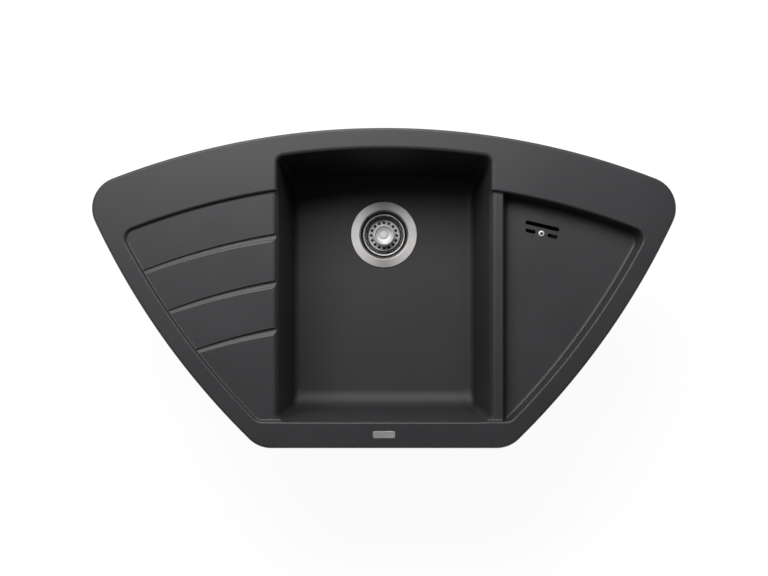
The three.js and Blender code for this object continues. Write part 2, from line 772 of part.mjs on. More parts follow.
const spider = (bottom, top, reach) => joined(
  solidOf(rod(spiderHub, bottom, top, 16)),
  ...around(3, (angle) => {
    const arm = new THREE.BoxGeometry(reach, spiderArm, top - bottom);
    arm.translate(reach / 2, 0, (top + bottom) / 2);
    return solidOf(arm.rotateZ(angle));
  }));

function strainerFlange() {
  const rimRadius = flangeDiameter / 2;
  const mouth = cupMouth / 2;
  const throat = cupThroat / 2;
  const neck = cupSeatDepth - cupSheet;
  const shell = solidOf(turned([
    [rimRadius, down(flangeThickness)],
    [mouth + 2.4, down(flangeThickness)],
    [mouth + cupSheet, down(flangeThickness + 1.6)],
    [throat + cupSheet + 0.6, down(cupThroatDepth - 1)],
    [throat + cupSheet, down(cupThroatDepth + 1)],
    [cupSeatRadius + cupSheet + 1.5, down(neck - 3)],
    [cupSeatRadius - 1, down(cupSeatDepth + cupSheet)],
    [outletRadius + cupSheet, down(cupSeatDepth + cupSheet)],
    [outletRadius + cupSheet, down(cupSeatDepth + outletLip)],
    [outletRadius, down(cupSeatDepth + outletLip)],
    [outletRadius, down(cupSeatDepth)],
    [cupSeatRadius - 1, down(cupSeatDepth)],
    [cupSeatRadius + 1.2, down(neck - 2.4)],
    [throat, down(cupThroatDepth)],
    [mouth - 0.6, down(3)],
    [mouth, down(0.8)],
    [mouth + 1.6, down(0)],
    [rimRadius - 0.8, down(0)],
    [rimRadius, down(flangeThickness - 0.7)],
  ]));
  const low = down(cupSeatDepth + outletLip);
  const arms = spider(low, low + spiderThickness, outletRadius + cupSheet / 2);
  const hole = solidOf(rod(boltRadius + gap, low - over, low + spiderThickness + over, 12));
  return joined(shell, arms).subtract(hole);
}

const spiderTop = down(cupSeatDepth + outletLip) + spiderThickness;

function basketCup() {
  const rim = basketRim / 2;
  const floor = basketFloorDepth;
  const bore = stemRadius + gap;
  const cup = solidOf(turned([
    [rim, down(basketRimDepth + 0.6)],
    [rim - 1.2, down(basketRimDepth + basketSheet)],
    [basketFloorRadius + 3, down(floor - 3)],
    [basketFloorRadius + 0.6, down(floor + basketSheet)],
    [basketHoleCircle / 2 - 4, down(floor + basketSheet)],
    [bore + 4, down(floor + basketSheet - basketCrown)],
    [bore, down(floor + basketSheet - basketCrown)],
    [bore, down(floor - basketCrown)],
    [bore + 4, down(floor - basketCrown)],
    [basketHoleCircle / 2 - 4, down(floor)],
    [basketFloorRadius, down(floor)],
    [basketFloorRadius + 2, down(floor - 2.6)],
    [rim - 2.2, down(basketRimDepth + 0.4)],
    [rim - 1.4, down(basketRimDepth)],
    [rim, down(basketRimDepth)],
  ]));
  const holes = around(basketHoles, (angle) => {
    const hole = rod(basketHole / 2, down(floor + basketSheet + over), down(floor - over), 6);
    return solidOf(placed(hole.translate(basketHoleCircle / 2, 0, 0), 0, 0, 0, angle));
  });
  const slots = around(basketHoles, (angle) => {
    const slot = new THREE.BoxGeometry(rim - basketFloorRadius + 4, basketSlot, basketSlotHeight);
    slot.translate((rim + basketFloorRadius) / 2, 0, down(floor - basketSlotHeight / 2 - 5));
    return solidOf(slot.rotateZ(angle + Math.PI / basketHoles));
  });
  return without(cup, ...holes, ...slots);
}

const stopperTop = basketFloorDepth + basketSheet + gap;
const stemEnd = stopperTop + stopperThickness + gap + stemNutHeight;
const knobBottom = knobTop + knobHeight;

const basketKnob = () => turned([
  [0, down(knobBottom)], [stemRadius + 3, down(knobBottom)], [knobDiameter / 2 - 3, down(knobTop + 4.6)],
  [knobDiameter / 2 - 0.4, down(knobTop + 2.4)], [knobDiameter / 2, down(knobTop + 1.4)],
  [knobDiameter / 2 - 0.8, down(knobTop + 0.3)], [knobDiameter / 2 - 2, down(knobTop)],
  [knobDish / 2, down(knobTop + 0.4)], [knobDish / 2 - 0.8, down(knobTop + 1.4)],
  [knobCentre / 2 + 1, down(knobTop + 2.6)], [knobCentre / 2, down(knobTop + 2)],
  [0, down(knobTop + 1.8)],
], 24);

// Waste body: flange under the bowl, pot, cone and threaded neck, with the overflow inlet.
const wasteTop = bowlUnderside - wasteSealThickness - 2 * gap;
const wasteFlangeLow = wasteTop - wasteFlangeThickness;
const potLow = wasteFlangeLow - potHeight;
const neckTop = potLow - coneHeight;
const neckLow = neckTop - neckHeight;
const spiderLow = potLow + boltNutHeight + 4;
const inletZ = wasteFlangeLow - inletDepth;
const spigot = byOverflow(spigotX, spigotY);
const inletWay = Math.atan2(spigot.y - drain.y, spigot.x - drain.x);
const inletEnd = potRadius + inletLength;

function wasteBody() {
  const threads = [];
  for (let i = 0; i < threadCount; i += 1) {
    const z = neckLow + 1.5 + i * threadPitch;
    threads.push(
      [neckRadius - threadDepth, z], [neckRadius, z + 0.9], [neckRadius, z + 1.7],
      [neckRadius - threadDepth, z + 2.6]);
  }
  const shell = solidOf(turned([
    [neckBore, neckLow],
    [neckRadius - threadDepth, neckLow],
    ...threads,
    [neckRadius - threadDepth, neckTop],
    [potRadius, potLow + 2],
    [potRadius, wasteFlangeLow],
    [wasteFlange / 2, wasteFlangeLow],
    [wasteFlange / 2, wasteTop],
    [potRadius - potWall, wasteTop],
    [potRadius - potWall, potLow + 3],
    [neckBore, neckTop + 1],
  ], 24));
  const inletPart = (radius, x0, x1, sides) => solidOf(
    rod(radius, x0, x1, sides).rotateY(Math.PI / 2).translate(0, 0, inletZ).rotateZ(inletWay));
  const rootX = potRadius - potWall / 2;
  const stub = inletPart(spigotRadius, rootX, inletEnd, 16);
  const collar = inletPart(hoseRadius, rootX, inletEnd - spigotLength, 16);
  const bore = inletPart(spigotRadius - spigotWall, potRadius - 2 * potWall, inletEnd + over, 12);
  const arms = spider(spiderLow, spiderLow + spiderThickness, potRadius - potWall / 2);
  const hole = solidOf(rod(boltRadius + gap, spiderLow - over, spiderLow + spiderThickness + over, 12));
  return without(joined(shell, stub, collar, arms), bore, hole);
}

const boltNutTop = spiderLow - gap;

function strainerBolt() {
  const low = boltNutTop - boltNutHeight - boltEnd;
  const top = spiderTop + boltHeadHeight;
  const bolt = solidOf(turned([
    [0, low], [boltRadius, low], [boltRadius, spiderTop + gap], [boltHead, spiderTop + gap],
    [boltHead, top - 0.8], [boltHead - 1.4, top], [0, top],
  ], 24));
  const slot = new THREE.BoxGeometry(2 * boltHead + over, driverSlot, 2 * driverDepth);
  return bolt.subtract(solidOf(slot.translate(0, 0, top)));
}

const hexNut = (hole, size, z0, z1) => slab(polygon(size, 6), z0, z1, [polygon(hole, 12)]);

// Overflow housing, in directions along and across the slots, with the screw at its origin.
const housingTop = halfUnderside - overflowSealThickness - 2 * gap;
const housingLow = housingTop - housingHeight;
const inHousing = (points, x, y) => points.map((p) => new THREE.Vector2(p.x + x, p.y + y));
const housingOutline = (grow) => inHousing(
  roundedRectangle(housingLength + 2 * grow, housingWidth + 2 * grow, housingCorner + grow, 4),
  0, housingAcross);

function overflowHousing() {
  const block = solidOf(slab(housingOutline(0), housingLow, housingTop));
  const hollow = solidOf(slab(housingOutline(-housingWall), housingLow + housingWall, housingTop + over));
  const boss = solidOf(rod(housingBoss, housingLow + housingWall / 2, housingTop, 16));
  const screwHole = solidOf(rod(screwRadius + gap, housingLow + housingWall, housingTop + over, 12));
  const spigotLow = housingLow - spigotLength;
  const outer = solidOf(placed(
    rod(spigotRadius, spigotLow, housingLow + housingWall / 2, 16), spigotX, spigotY));
  const bore = solidOf(placed(
    rod(spigotRadius - spigotWall, spigotLow - over, housingTop, 12), spigotX, spigotY));
  return without(joined(block.subtract(hollow).add(boss), outer), bore, screwHole);
}

const overflowSeal = () => slab(
  housingOutline(0), housingTop + gap, housingTop + gap + overflowSealThickness,
  [housingOutline(-overflowSealWidth)]);

function overflowScrew() {
  const low = halfZ - screwLength;
  const seat = halfZ + gap;
  const top = seat + screwHeadHeight;
  const headRadius = screwHead / 2;
  const screw = solidOf(turned([
    [0, low], [screwRadius - 0.5, low], [screwRadius, low + 1], [screwRadius, seat],
    [headRadius, seat], [headRadius, top - 0.9], [headRadius - 1.2, top], [0, top],
  ], 20));
  const socket = slab(polygon(screwSocket / Math.sqrt(3), 6), top - socketDepth, top + over);
  return screw.subtract(solidOf(socket));
}

// The hose hangs from the housing's spigot, bends once and runs level to the inlet of the waste.
const hoseBore = (spigotRadius + gap) / Math.cos(Math.PI / hoseSides);
const hoseTop = housingLow - gap;
const inletFace = inletEnd - spigotLength + gap;
const hoseReach = Math.hypot(spigot.x - drain.x, spigot.y - drain.y);

function hosePath() {
  const drop = hoseTop - inletZ - hoseBend;
  const bend = (hoseBend * Math.PI) / 2;
  const run = hoseReach - hoseBend - inletFace;
  const at = (s) => {
    if (s <= drop) return { r: hoseReach, z: hoseTop - s, turn: 0 };
    if (s <= drop + bend) {
      const angle = (s - drop) / hoseBend;
      return {
        r: hoseReach - hoseBend * (1 - Math.cos(angle)),
        z: inletZ + hoseBend * (1 - Math.sin(angle)),
        turn: angle,
      };
    }
    return { r: hoseReach - hoseBend - (s - drop - bend), z: inletZ, turn: Math.PI / 2 };
  };
  return { drop, bend, length: drop + bend + run, at };
}

// A rod along the hose's path, which runs past both ends by the given length.
function alongHose(radius, past) {
  const { drop, bend, length, at } = hosePath();
  const ring = ({ r, z, turn }) => Array.from({ length: hoseSides }, (_, i) => {
    const angle = (2 * Math.PI * (i + 0.5)) / hoseSides;
    const [u, v] = [radius * Math.cos(angle), radius * Math.sin(angle)];
    return new THREE.Vector3(r + u * Math.cos(turn), v, z - u * Math.sin(turn));
  });
  const stations = shares(hoseBendSteps).map((share) => drop + bend * share);
  const rings = [-past, ...stations, length + past].map((s) => ring(at(s)));
  const index = [];
  for (let k = 0; k + 1 < rings.length; k += 1) {
    for (let i = 0; i < hoseSides; i += 1) {
      const [a, b] = [k * hoseSides + i, k * hoseSides + ((i + 1) % hoseSides)];
      index.push(a, b, b + hoseSides, a, b + hoseSides, a + hoseSides);
    }
  }
  const last = (rings.length - 1) * hoseSides;
  for (let i = 1; i + 1 < hoseSides; i += 1) index.push(0, i + 1, i, last, last + i, last + i + 1);
  const geometry = new THREE.BufferGeometry();
  geometry.setAttribute(
    'position', new THREE.Float32BufferAttribute(rings.flat().flatMap((p) => p.toArray()), 3));
  geometry.setIndex(index);
  return solidOf(facingOut(geometry));
}

const overflowHose = () => alongHose(hoseRadius, 0).subtract(alongHose(hoseBore, over));

// A worm-drive clip round the z axis, its housing towards +x. The worm lies across it, along y.
const bandInner = hoseRadius + 1.5 * gap;
const wormX = bandInner + clipBand + clipHousingHeight / 2 - gap;

function hoseClip() {
  const band = solidOf(tube(bandInner, bandInner + clipBand, -clipWidth / 2, clipWidth / 2, 24));
  const housing = new THREE.BoxGeometry(clipHousingHeight, clipHousing, clipHousingWidth);
  const inner = solidOf(rod(bandInner, -clipWidth, clipWidth, 24));
  const bore = rod(wormRadius + gap, -clipHousing, clipHousing, 12).rotateX(Math.PI / 2);
  const solid = joined(band, solidOf(housing.translate(wormX, 0, 0)));
  return without(solid, inner, solidOf(bore.translate(wormX, 0, 0)));
}

function clipWorm() {
  const low = -clipHousing / 2 - over;
  const head = clipHousing / 2 + gap;
  const top = wormLength - clipHousing / 2;
  const worm = solidOf(turned([
    [0, low], [wormRadius, low], [wormRadius, head],
    [wormHeadRadius, head], [wormHeadRadius, top], [0, top],
  ], 12));
  const slot = new THREE.BoxGeometry(2 * wormHeadRadius + over, driverSlot, 2 * driverDepth);
  return worm.subtract(solidOf(slot.rotateZ(Math.PI / 2).translate(0, 0, top)));
}

// Clamp pieces, about a stud on the z axis. The clip's heel is round, so it turns clear of the bowl.
function clampClip(inset) {
  const reach = inset - clampMargin;
  const riser = reach - clipTip;
  const foot = clipBreadth / 2;
  const top = clipRise + clipSheet;
  const side = new THREE.Shape([
    new THREE.Vector2(0, 0), new THREE.Vector2(riser + clipSheet, 0),
    new THREE.Vector2(riser + clipSheet, clipRise), new THREE.Vector2(reach, clipRise),
    new THREE.Vector2(reach, top + clipTooth), new THREE.Vector2(reach - clipToothLength, top + clipTooth),
    new THREE.Vector2(reach - clipToothLength - clipToothSlope, top), new THREE.Vector2(riser, top),
    new THREE.Vector2(riser, clipSheet), new THREE.Vector2(0, clipSheet),
  ]);
  const strip = new THREE.ExtrudeGeometry(side, { depth: clipBreadth, bevelEnabled: false });
  strip.translate(0, 0, -foot).rotateX(Math.PI / 2);
  const heel = rod(foot, 0, clipSheet, 24);
  return joined(solidOf(strip), solidOf(heel))
    .subtract(solidOf(rod(clipHole, -over, clipSheet + over, 16)));
}

function clampNut() {
  const grip = Array.from({ length: 2 * nutGrips }, (_, i) => new THREE.Vector2()
    .set(nutRadius - (i % 2) * nutGrip, 0).rotateAround(new THREE.Vector2(), (Math.PI * i) / nutGrips));
  return slab(grip, -gap - nutHeight, -gap, [polygon(studRadius + gap, 12)]);
}

// Materials
const finish = (color, roughness, metalness = 0) => new THREE.MeshStandardMaterial(
  { color, roughness, metalness });
const composite = finish(0x3b393c, 0.62);
const brushedSteel = finish(0xb3b0ad, 0.36, 1);
const polishedSteel = finish(0xd9d8d5, 0.12, 1);
const zincSteel = finish(0xa9adb0, 0.42, 1);
const brass = finish(0xb08d4a, 0.4, 1);
const plastic = finish(0x2a2b2d, 0.5);
const greyPlastic = finish(0x8c8f92, 0.5);
const rubber = finish(0x1b1b1c, 0.8);
const foam = finish(0x6d6f70, 0.9);

const sink = new THREE.Group();

function addPiece(name, shape, material, parent = sink) {
  const geometry = shape instanceof THREE.BufferGeometry ? shape : geometryOf(shape);
  const piece = new THREE.Mesh(geometry, material);
  piece.name = name;
  parent.add(piece);
  return piece;
}

addPiece('sink_body', sinkBody(), composite);
addPiece('badge_plate', placed(
  slab(roundedRectangle(badgeLength, badgeWidth, badgeCorner, 3), 0, badgeThickness),
  0, frontY + badgeInset, rimHeight - badgePocket + gap), brushedSteel);
const rimLine = (inset) => outline(rimPlan, inset, rimCorner - inset);
addPiece('rim_seal', slab(
  rimLine(sealInset + gap), 0, sealGrooveDepth - gap,
  [rimLine(sealInset + sealGrooveWidth - gap)]), foam);

const waste = new THREE.Group();
waste.position.set(drain.x, drain.y, 0);
sink.add(waste);
addPiece('strainer_flange', strainerFlange(), brushedSteel, waste);
addPiece('flange_seal', tube(
  drainHole / 2 + gap, flangeDiameter / 2 - 1.5,
  bowlZ - seatDepth + gap, bowlZ - seatDepth + gap + flangeSealThickness), rubber, waste);
addPiece('waste_seal', tube(
  drainHole / 2 + gap, wasteFlange / 2 - 1,
  wasteTop + gap, wasteTop + gap + wasteSealThickness), rubber, waste);
addPiece('waste_body', wasteBody(), greyPlastic, waste);
addPiece('strainer_bolt', strainerBolt(), polishedSteel, waste);
addPiece('strainer_bolt_nut', hexNut(
  boltRadius + gap, boltNut, boltNutTop - boltNutHeight, boltNutTop), brass, waste);

const basket = new THREE.Group();
waste.add(basket);
addPiece('basket_cup', basketCup(), polishedSteel, basket);
addPiece('basket_knob', basketKnob(), polishedSteel, basket);
addPiece('basket_stem', rod(stemRadius, down(stemEnd), down(knobBottom + gap), 12), polishedSteel, basket);
addPiece('basket_stopper', tube(
  stemRadius + gap, stopperRadius,
  down(stopperTop + stopperThickness), down(stopperTop), 24), rubber, basket);
addPiece('basket_stem_nut', hexNut(
  stemRadius + gap, stemNutRadius, down(stemEnd), down(stemEnd - stemNutHeight)), zincSteel, basket);

const overflowFitting = new THREE.Group();
overflowFitting.position.set(overflow.x, overflow.y, 0);
overflowFitting.rotation.z = overflowAngle;
sink.add(overflowFitting);
addPiece('overflow_screw', overflowScrew(), brushedSteel, overflowFitting);
addPiece('overflow_housing', overflowHousing(), plastic, overflowFitting);
addPiece('overflow_seal', overflowSeal(), rubber, overflowFitting);

const hoseLine = new THREE.Group();
hoseLine.position.set(drain.x, drain.y, 0);
hoseLine.rotation.z = inletWay;
sink.add(hoseLine);
addPiece('overflow_hose', overflowHose(), greyPlastic, hoseLine);

const clipSetback = clipWidth / 2 + 6; // hose end to the middle of the clip
const clipPlaces = {
  upper: { position: [hoseReach, 0, hoseTop - clipSetback], tilt: 0 },
  lower: { position: [inletFace + clipSetback, 0, inletZ], tilt: Math.PI / 2 },
};
Object.entries(clipPlaces).forEach(([name, { position, tilt }]) => {
  const clip = new THREE.Group();
  clip.position.set(...position);
  clip.rotation.y = tilt;
  hoseLine.add(clip);
  addPiece(`hose_clip_${name}`, hoseClip(), polishedSteel, clip);
  const worm = addPiece(`hose_clip_screw_${name}`, clipWorm(), zincSteel, clip);
  worm.position.x = wormX;
  worm.rotation.x = -Math.PI / 2;
});

Object.entries(clampPlaces).forEach(([name, { x, y, outwards, inset }]) => {
  const clamp = new THREE.Group();
  clamp.position.set(x, y, 0);
  clamp.rotation.z = outwards - Math.PI / 2; // put away, the clip lies along the edge
  sink.add(clamp);
  addPiece(`clamp_anchor_${name}`, tube(
    studRadius + gap, anchorRadius, bossBottom, bossBottom + anchorLength, 12), brass, clamp);
  addPiece(`clamp_stud_${name}`, rod(
    studRadius, studBottom, bossBottom + anchorLength, 12), zincSteel, clamp);
  addPiece(`clamp_clip_${name}`, clampClip(inset), zincSteel, clamp).position.z = clampRest;
  addPiece(`clamp_nut_${name}`, clampNut(), plastic, clamp).position.z = clampRest;
});

export default sink;
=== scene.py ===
from math import acos, atan2, cos, degrees, floor, hypot, pi, radians, sin, sqrt, tan

import bmesh
import bpy
from mathutils import Matrix, Vector


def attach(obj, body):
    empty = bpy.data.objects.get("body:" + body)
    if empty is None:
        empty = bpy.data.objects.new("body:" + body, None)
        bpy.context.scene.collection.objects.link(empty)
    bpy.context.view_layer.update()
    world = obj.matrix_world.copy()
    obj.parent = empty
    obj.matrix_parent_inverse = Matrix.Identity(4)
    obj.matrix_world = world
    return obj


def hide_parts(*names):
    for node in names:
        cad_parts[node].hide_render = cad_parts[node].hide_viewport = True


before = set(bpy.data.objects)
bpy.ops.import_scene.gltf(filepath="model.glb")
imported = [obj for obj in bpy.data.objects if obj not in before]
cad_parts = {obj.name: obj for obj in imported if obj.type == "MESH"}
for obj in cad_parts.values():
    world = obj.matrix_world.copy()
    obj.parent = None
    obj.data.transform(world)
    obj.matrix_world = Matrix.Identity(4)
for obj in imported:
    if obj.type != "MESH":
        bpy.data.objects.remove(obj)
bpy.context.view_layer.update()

# Everything is measured in millimetres and made metres when a piece is finished.
mm = 0.001
gap = 0.3  # between pieces that touch


# A dictionary whose entries are also read by a dot and their name.
class Settings(dict):
    __getattr__ = dict.__getitem__


# The camera comes first, so every later look is at the same picture.
view = Settings(place=(0.0, 0.243, 2.334), lens=68.6, sensor=36)


def addObject(name, data, at=(0, 0, 0)):
    made = bpy.data.objects.new(name, data)
    made.location = at
    bpy.context.collection.objects.link(made)
    return made


def addCamera():
    camera = bpy.data.cameras.new("camera")
    camera.lens = view.lens
    camera.sensor_width = view.sensor
    # unturned, so it looks straight down
    bpy.context.scene.camera = addObject("camera", camera, view.place)


addCamera()
print("camera set")


# An operator of a socket and its reflected form, each made by a Math node.
def mathsPair(operation):
    return (
        lambda a, b: a.paint.maths(operation, a, b), lambda a, b: a.paint.maths(operation, b, a))


class Socket:
    def __init__(self, paint, socket):
        self.paint = paint
        self.socket = socket

    __add__, __radd__ = mathsPair("ADD")
    __sub__, __rsub__ = mathsPair("SUBTRACT")
    __mul__, __rmul__ = mathsPair("MULTIPLY")
    __truediv__, __rtruediv__ = mathsPair("DIVIDE")


class Paint:
    def __init__(self, name, owner=None):
        self.owner = owner or bpy.data.materials.new(name)
        self.owner.use_nodes = True
        self.tree = self.owner.node_tree
        self.tree.nodes.clear()

    def node(self, kind, settings=None, sockets=None, out=0):
        made = self.tree.nodes.new("ShaderNode" + kind)
        for key, value in (settings or {}).items():
            if key == "stops":
                ramp = made.color_ramp
                while len(ramp.elements) < len(value):
                    ramp.elements.new(1.0)
                for stop, (at, colour) in zip(ramp.elements, value):
                    stop.position = at
                    stop.color = colour
            else:
                setattr(made, key, value)
        for key, value in (sockets or {}).items():
            if isinstance(value, Socket):
                self.tree.links.new(value.socket, made.inputs[key])
            else:
                made.inputs[key].default_value = value
        return Socket(self, made.outputs[out]) if made.outputs else None

    def maths(self, operation, a, b):
        return self.node("Math", {"operation": operation}, {0: a, 1: b})

    # object coordinates, measured from the given centre
    def place(self, centre=(0, 0, 0)):
        here = self.node("TexCoord", out="Object")
        away = tuple(-c for c in centre)
        return self.node("Mapping", {}, {"Vector": here, "Location": away})

    def noise(self, where, scale, detail=2.0, rough=0.5, dimensions="3D"):
        key = "W" if dimensions == "1D" else "Vector"
        return self.node(
            "TexNoise", {"noise_dimensions": dimensions},
            {key: where, "Scale": scale, "Detail": detail, "Roughness": rough})

    def cells(self, where, scale, out=0):
        return self.node("TexVoronoi", {}, {"Vector": where, "Scale": scale}, out)

    def between(self, value, low, high, toLow=0.0, toHigh=1.0):
        return self.node(
            "MapRange", {"clamp": True},
            {"Value": value, "From Min": low, "From Max": high, "To Min": toLow, "To Max": toHigh})

    # a Mix node's colour sockets come after its float and vector ones
    def blend(self, share, a, b):
        return self.node("Mix", {"data_type": "RGBA"}, {0: share, 6: a, 7: b}, out=2)

    # distance from the centre along the axes that are 1
    def reach(self, here, axes):
        flat = self.node("VectorMath", {"operation": "MULTIPLY"}, {0: here, 1: axes})
        return self.node("VectorMath", {"operation": "LENGTH"}, {0: flat}, out=1)

    # the finished material, with the height pattern as bumps of the given distance
    def finish(self, colour, rough, height, distance, metallic=0.0, gloss=0.5):
        bump = self.node("Bump", {}, {"Height": height, "Distance": distance, "Strength": 1.0})
        shader = self.node("BsdfPrincipled", {}, {
            "Base Color": colour, "Metallic": metallic, "Roughness": rough, "Normal": bump,
            "Specular IOR Level": gloss})
        self.node("OutputMaterial", {}, {"Surface": shader})
        return self.owner


stoneLook = Settings(
    dark=(0.0335, 0.0312, 0.0345, 1), light=(0.0505, 0.0470, 0.0520, 1),
    cloud=9.0, ripple=420.0, grain=1500.0, speck=760.0, rough=(0.42, 0.54),
    # the painted shade towards the bowl's floor: deep is its colour, depth how far down it reaches,
    # and the last value the share of the stone's tone kept there
    bump=0.00012, gloss=0.58, deep=(0.006, 0.0055, 0.0062, 1), depth=0.17, sunk=0.66,
)


def stoneMaterial():
    p = Paint("composite")
    here = p.place()
    cloud = p.noise(here, stoneLook.cloud, 3.0)
    grain = p.noise(here, stoneLook.grain, 2.0, 0.6)
    pale = p.between(p.cells(here, stoneLook.speck), 0.16, 0.30, 1.0, 0.0)
    share = p.between(grain * 0.7 + cloud * 0.3 + pale * 0.16, 0.34, 0.74)
    colour = p.blend(share, stoneLook.dark, stoneLook.light)
    # painted shade: the stone keeps its full tone at the rim and is painted darker, and made
    # rougher, towards the bowl's floor, where the light falls off
    height = p.node("SeparateXYZ", {}, {"Vector": here}, out=2)
    sunk = p.between(height, -stoneLook.depth, 0.0, stoneLook.sunk, 1.0)
    rough = p.between(grain * 0.6 + cloud * 0.4, 0.3, 0.7, *stoneLook.rough) + (1 - sunk) * 0.3
    bumps = grain * 0.6 + p.noise(here, stoneLook.ripple, 2.0) * 0.7
    return p.finish(
        p.blend(sunk, stoneLook.deep, colour), rough, bumps, stoneLook.bump,
        gloss=stoneLook.gloss)


# steel turned on a lathe, with painted light: a band is a radius and its share of the bright tone.
# Dark bands are painted shade and dark reflection in hollows and creases, and the brightest bands
# are painted highlights.
latheReach = 0.06
lathedLooksWithPaintedLight = {
    "flange": Settings(
        # painted shade: the flange is dark inside its cup, within the mouth's radius
        bands=[(0.0, 0.0), (0.0400, 0.0), (0.0412, 0.8), (0.0425, 1.0)], ends=0.48,
        bright=(0.80, 0.78, 0.765, 1), dull=(0.035, 0.035, 0.036, 1), rough=(0.30, 0.52)),
    "cup": Settings(
        # painted shade on the basket's steep wall, from 28.4 to 33.6 mm, and a painted highlight on
        # the floor ring near 25 mm
        bands=[(0.0, 0.8), (0.0226, 0.8), (0.0242, 1.0), (0.0274, 1.0), (0.0284, 0.0),
                  (0.0336, 0.0), (0.0343, 1.0)],
        ends=0.9,
        bright=(0.88, 0.88, 0.875, 1), dull=(0.22, 0.22, 0.22, 1), rough=(0.24, 0.48)),
    "knob": Settings(
        # painted shade: dark rings at the centre's step and at the dish's edge
        bands=[(0.0, 1.0), (0.0055, 1.0), (0.0061, 0.82), (0.0067, 1.0), (0.0137, 1.0),
                  (0.0144, 0.45), (0.0151, 1.0)],
        ends=1.0,
        bright=(0.95, 0.95, 0.945, 1), dull=(0.20, 0.20, 0.20, 1), rough=(0.44, 0.60)),
    "screw": Settings(
        # painted shade: the socket in the head is dark
        bands=[(0.0, 0.0), (0.0021, 0.0), (0.0026, 1.0)], ends=1.0,
        bright=(0.96, 0.95, 0.94, 1), dull=(0.04, 0.04, 0.04, 1), rough=(0.42, 0.52)),
}


def lathedSteelWithPaintedLight(name, at):
    look = lathedLooksWithPaintedLight[name]
    p = Paint(name + "Steel")
    here = p.place((at.x * mm, at.y * mm, 0))
    reach = p.reach(here, (1, 1, 0))
    side = p.reach(here, (1, 0, 0))
    scratch = p.noise(reach, 5200.0, 3.0, 0.7, "1D")
    cloud = p.noise(here, 60.0, 2.0)
    stops = [(radius / latheReach, (share, share, share, 1)) for radius, share in look.bands]
    band = p.node(
        "ValToRGB", {"stops": stops}, {0: p.between(reach, 0.0, latheReach)})
    # painted sheen: the steel is painted lighter at its left and right sides than at its front and
    # back, as a lathed finish catches the light
    facing = p.between(side / reach, 0.1, 0.95, look.ends, 1.0)
    wear = p.between(scratch * 0.6 + cloud * 0.4, 0.3, 0.7, 0.86, 1.0)
    rough = p.between(band, 0.0, 1.0, *look.rough) + (scratch - 0.5) * 0.12
    # the bands' painted shade and highlight, the painted sheen and the real wear set the tone
    # between the dark colour and the bright one
    colour = p.blend(band * facing * wear, look.dull, look.bright)
    return p.finish(colour, rough, scratch, 0.00002, 1.0)


plateLook = Settings(
    dark=(0.7656, 0.7569, 0.74385, 1), light=(0.88, 0.87, 0.855, 1), rough=(0.40, 0.54),
    scratches=(60, 2600, 2600))


def plateSteel():
    p = Paint("plateSteel")
    drawn = p.node(
        "Mapping", {}, {"Vector": p.place(), "Scale": plateLook.scratches})
    scratch = p.noise(drawn, 1.0, 3.0, 0.6)
    colour = p.blend(p.between(scratch, 0.3, 0.7), plateLook.dark, plateLook.light)
    return p.finish(
        colour, p.between(scratch, 0.3, 0.7, *plateLook.rough), scratch, 0.00001, 1.0)


def polishedSteel():
    p = Paint("polishedSteel")
    haze = p.noise(p.place(), 220.0, 3.0)
    colour = p.blend(
        p.between(haze, 0.35, 0.65), (0.66, 0.66, 0.655, 1), (0.76, 0.76, 0.75, 1))
    return p.finish(colour, p.between(haze, 0.3, 0.7, 0.10, 0.2), haze, 0.000008, 1.0)


def zincSteel():
    p = Paint("zincSteel")
    here = p.place()
    spangle = p.cells(here, 420.0, out=1)
    grey = p.node("SeparateColor", {}, {"Color": spangle})
    haze = p.noise(here, 900.0, 3.0)
    share = p.between(grey * 0.6 + haze * 0.4, 0.2, 0.8)
    colour = p.blend(share, (0.33, 0.35, 0.37, 1), (0.52, 0.53, 0.54, 1))
    return p.finish(colour, p.between(grey, 0.0, 1.0, 0.34, 0.52), haze, 0.00003, 1.0)


def foamMaterial():
    p = Paint("foam")
    pores = p.cells(p.place(), 1500.0)
    colour = p.blend(
        p.between(pores, 0.1, 0.6), (0.06, 0.06, 0.062, 1), (0.19, 0.19, 0.195, 1))
    return p.finish(colour, p.between(pores, 0.1, 0.6, 0.95, 0.85), pores, 0.0003)


mottledLooks = {
    "brass": Settings(
        dark=(0.42, 0.27, 0.09, 1), light=(0.66, 0.47, 0.19, 1), rough=(0.28, 0.46),
        grain=500.0, cloud=45.0, detail=3.0, metallic=1.0),
    "blackPlastic": Settings(
        dark=(0.018, 0.018, 0.019, 1), light=(0.030, 0.030, 0.031, 1), rough=(0.42, 0.56)),
    "greyPlastic": Settings(
        dark=(0.20, 0.21, 0.22, 1), light=(0.29, 0.30, 0.31, 1), rough=(0.42, 0.56)),
    "rubber": Settings(
        dark=(0.010, 0.010, 0.010, 1), light=(0.017, 0.017, 0.017, 1), rough=(0.7, 0.85)),
}


# Fine grain over faint clouds: brass, and all that is moulded.
def mottled(name):
    look = Settings(
        {"grain": 2600.0, "cloud": 35.0, "detail": 2.0, "metallic": 0.0}, **mottledLooks[name])
    p = Paint(name)
    here = p.place()
    fine = p.noise(here, look.grain, look.detail)
    cloud = p.noise(here, look.cloud, look.detail)
    colour = p.blend(
        p.between(fine * 0.5 + cloud * 0.5, 0.35, 0.65), look.dark, look.light)
    rough = p.between(fine, 0.3, 0.7, *look.rough)
    return p.finish(colour, rough, fine, 0.00003, look.metallic)


# plan of the sink: edges run anticlockwise, each knows how deep a point lies inside it
rim = Settings(
    depth=510.0, frontSpan=399.2, backSpan=963.3, backRadius=1200.0,
    sideRadius=1200.0, corner=50.8, height=8.0, round=4.0, chamfer=1.0,
    seatInset=12.0,
)
rimTop = rim.height
frontY = -rim.seatInset
crownY = frontY + rim.depth
backCentre = Vector((0, crownY - rim.backRadius))


def pointing(angle):
    return Vector((cos(angle), sin(angle)))


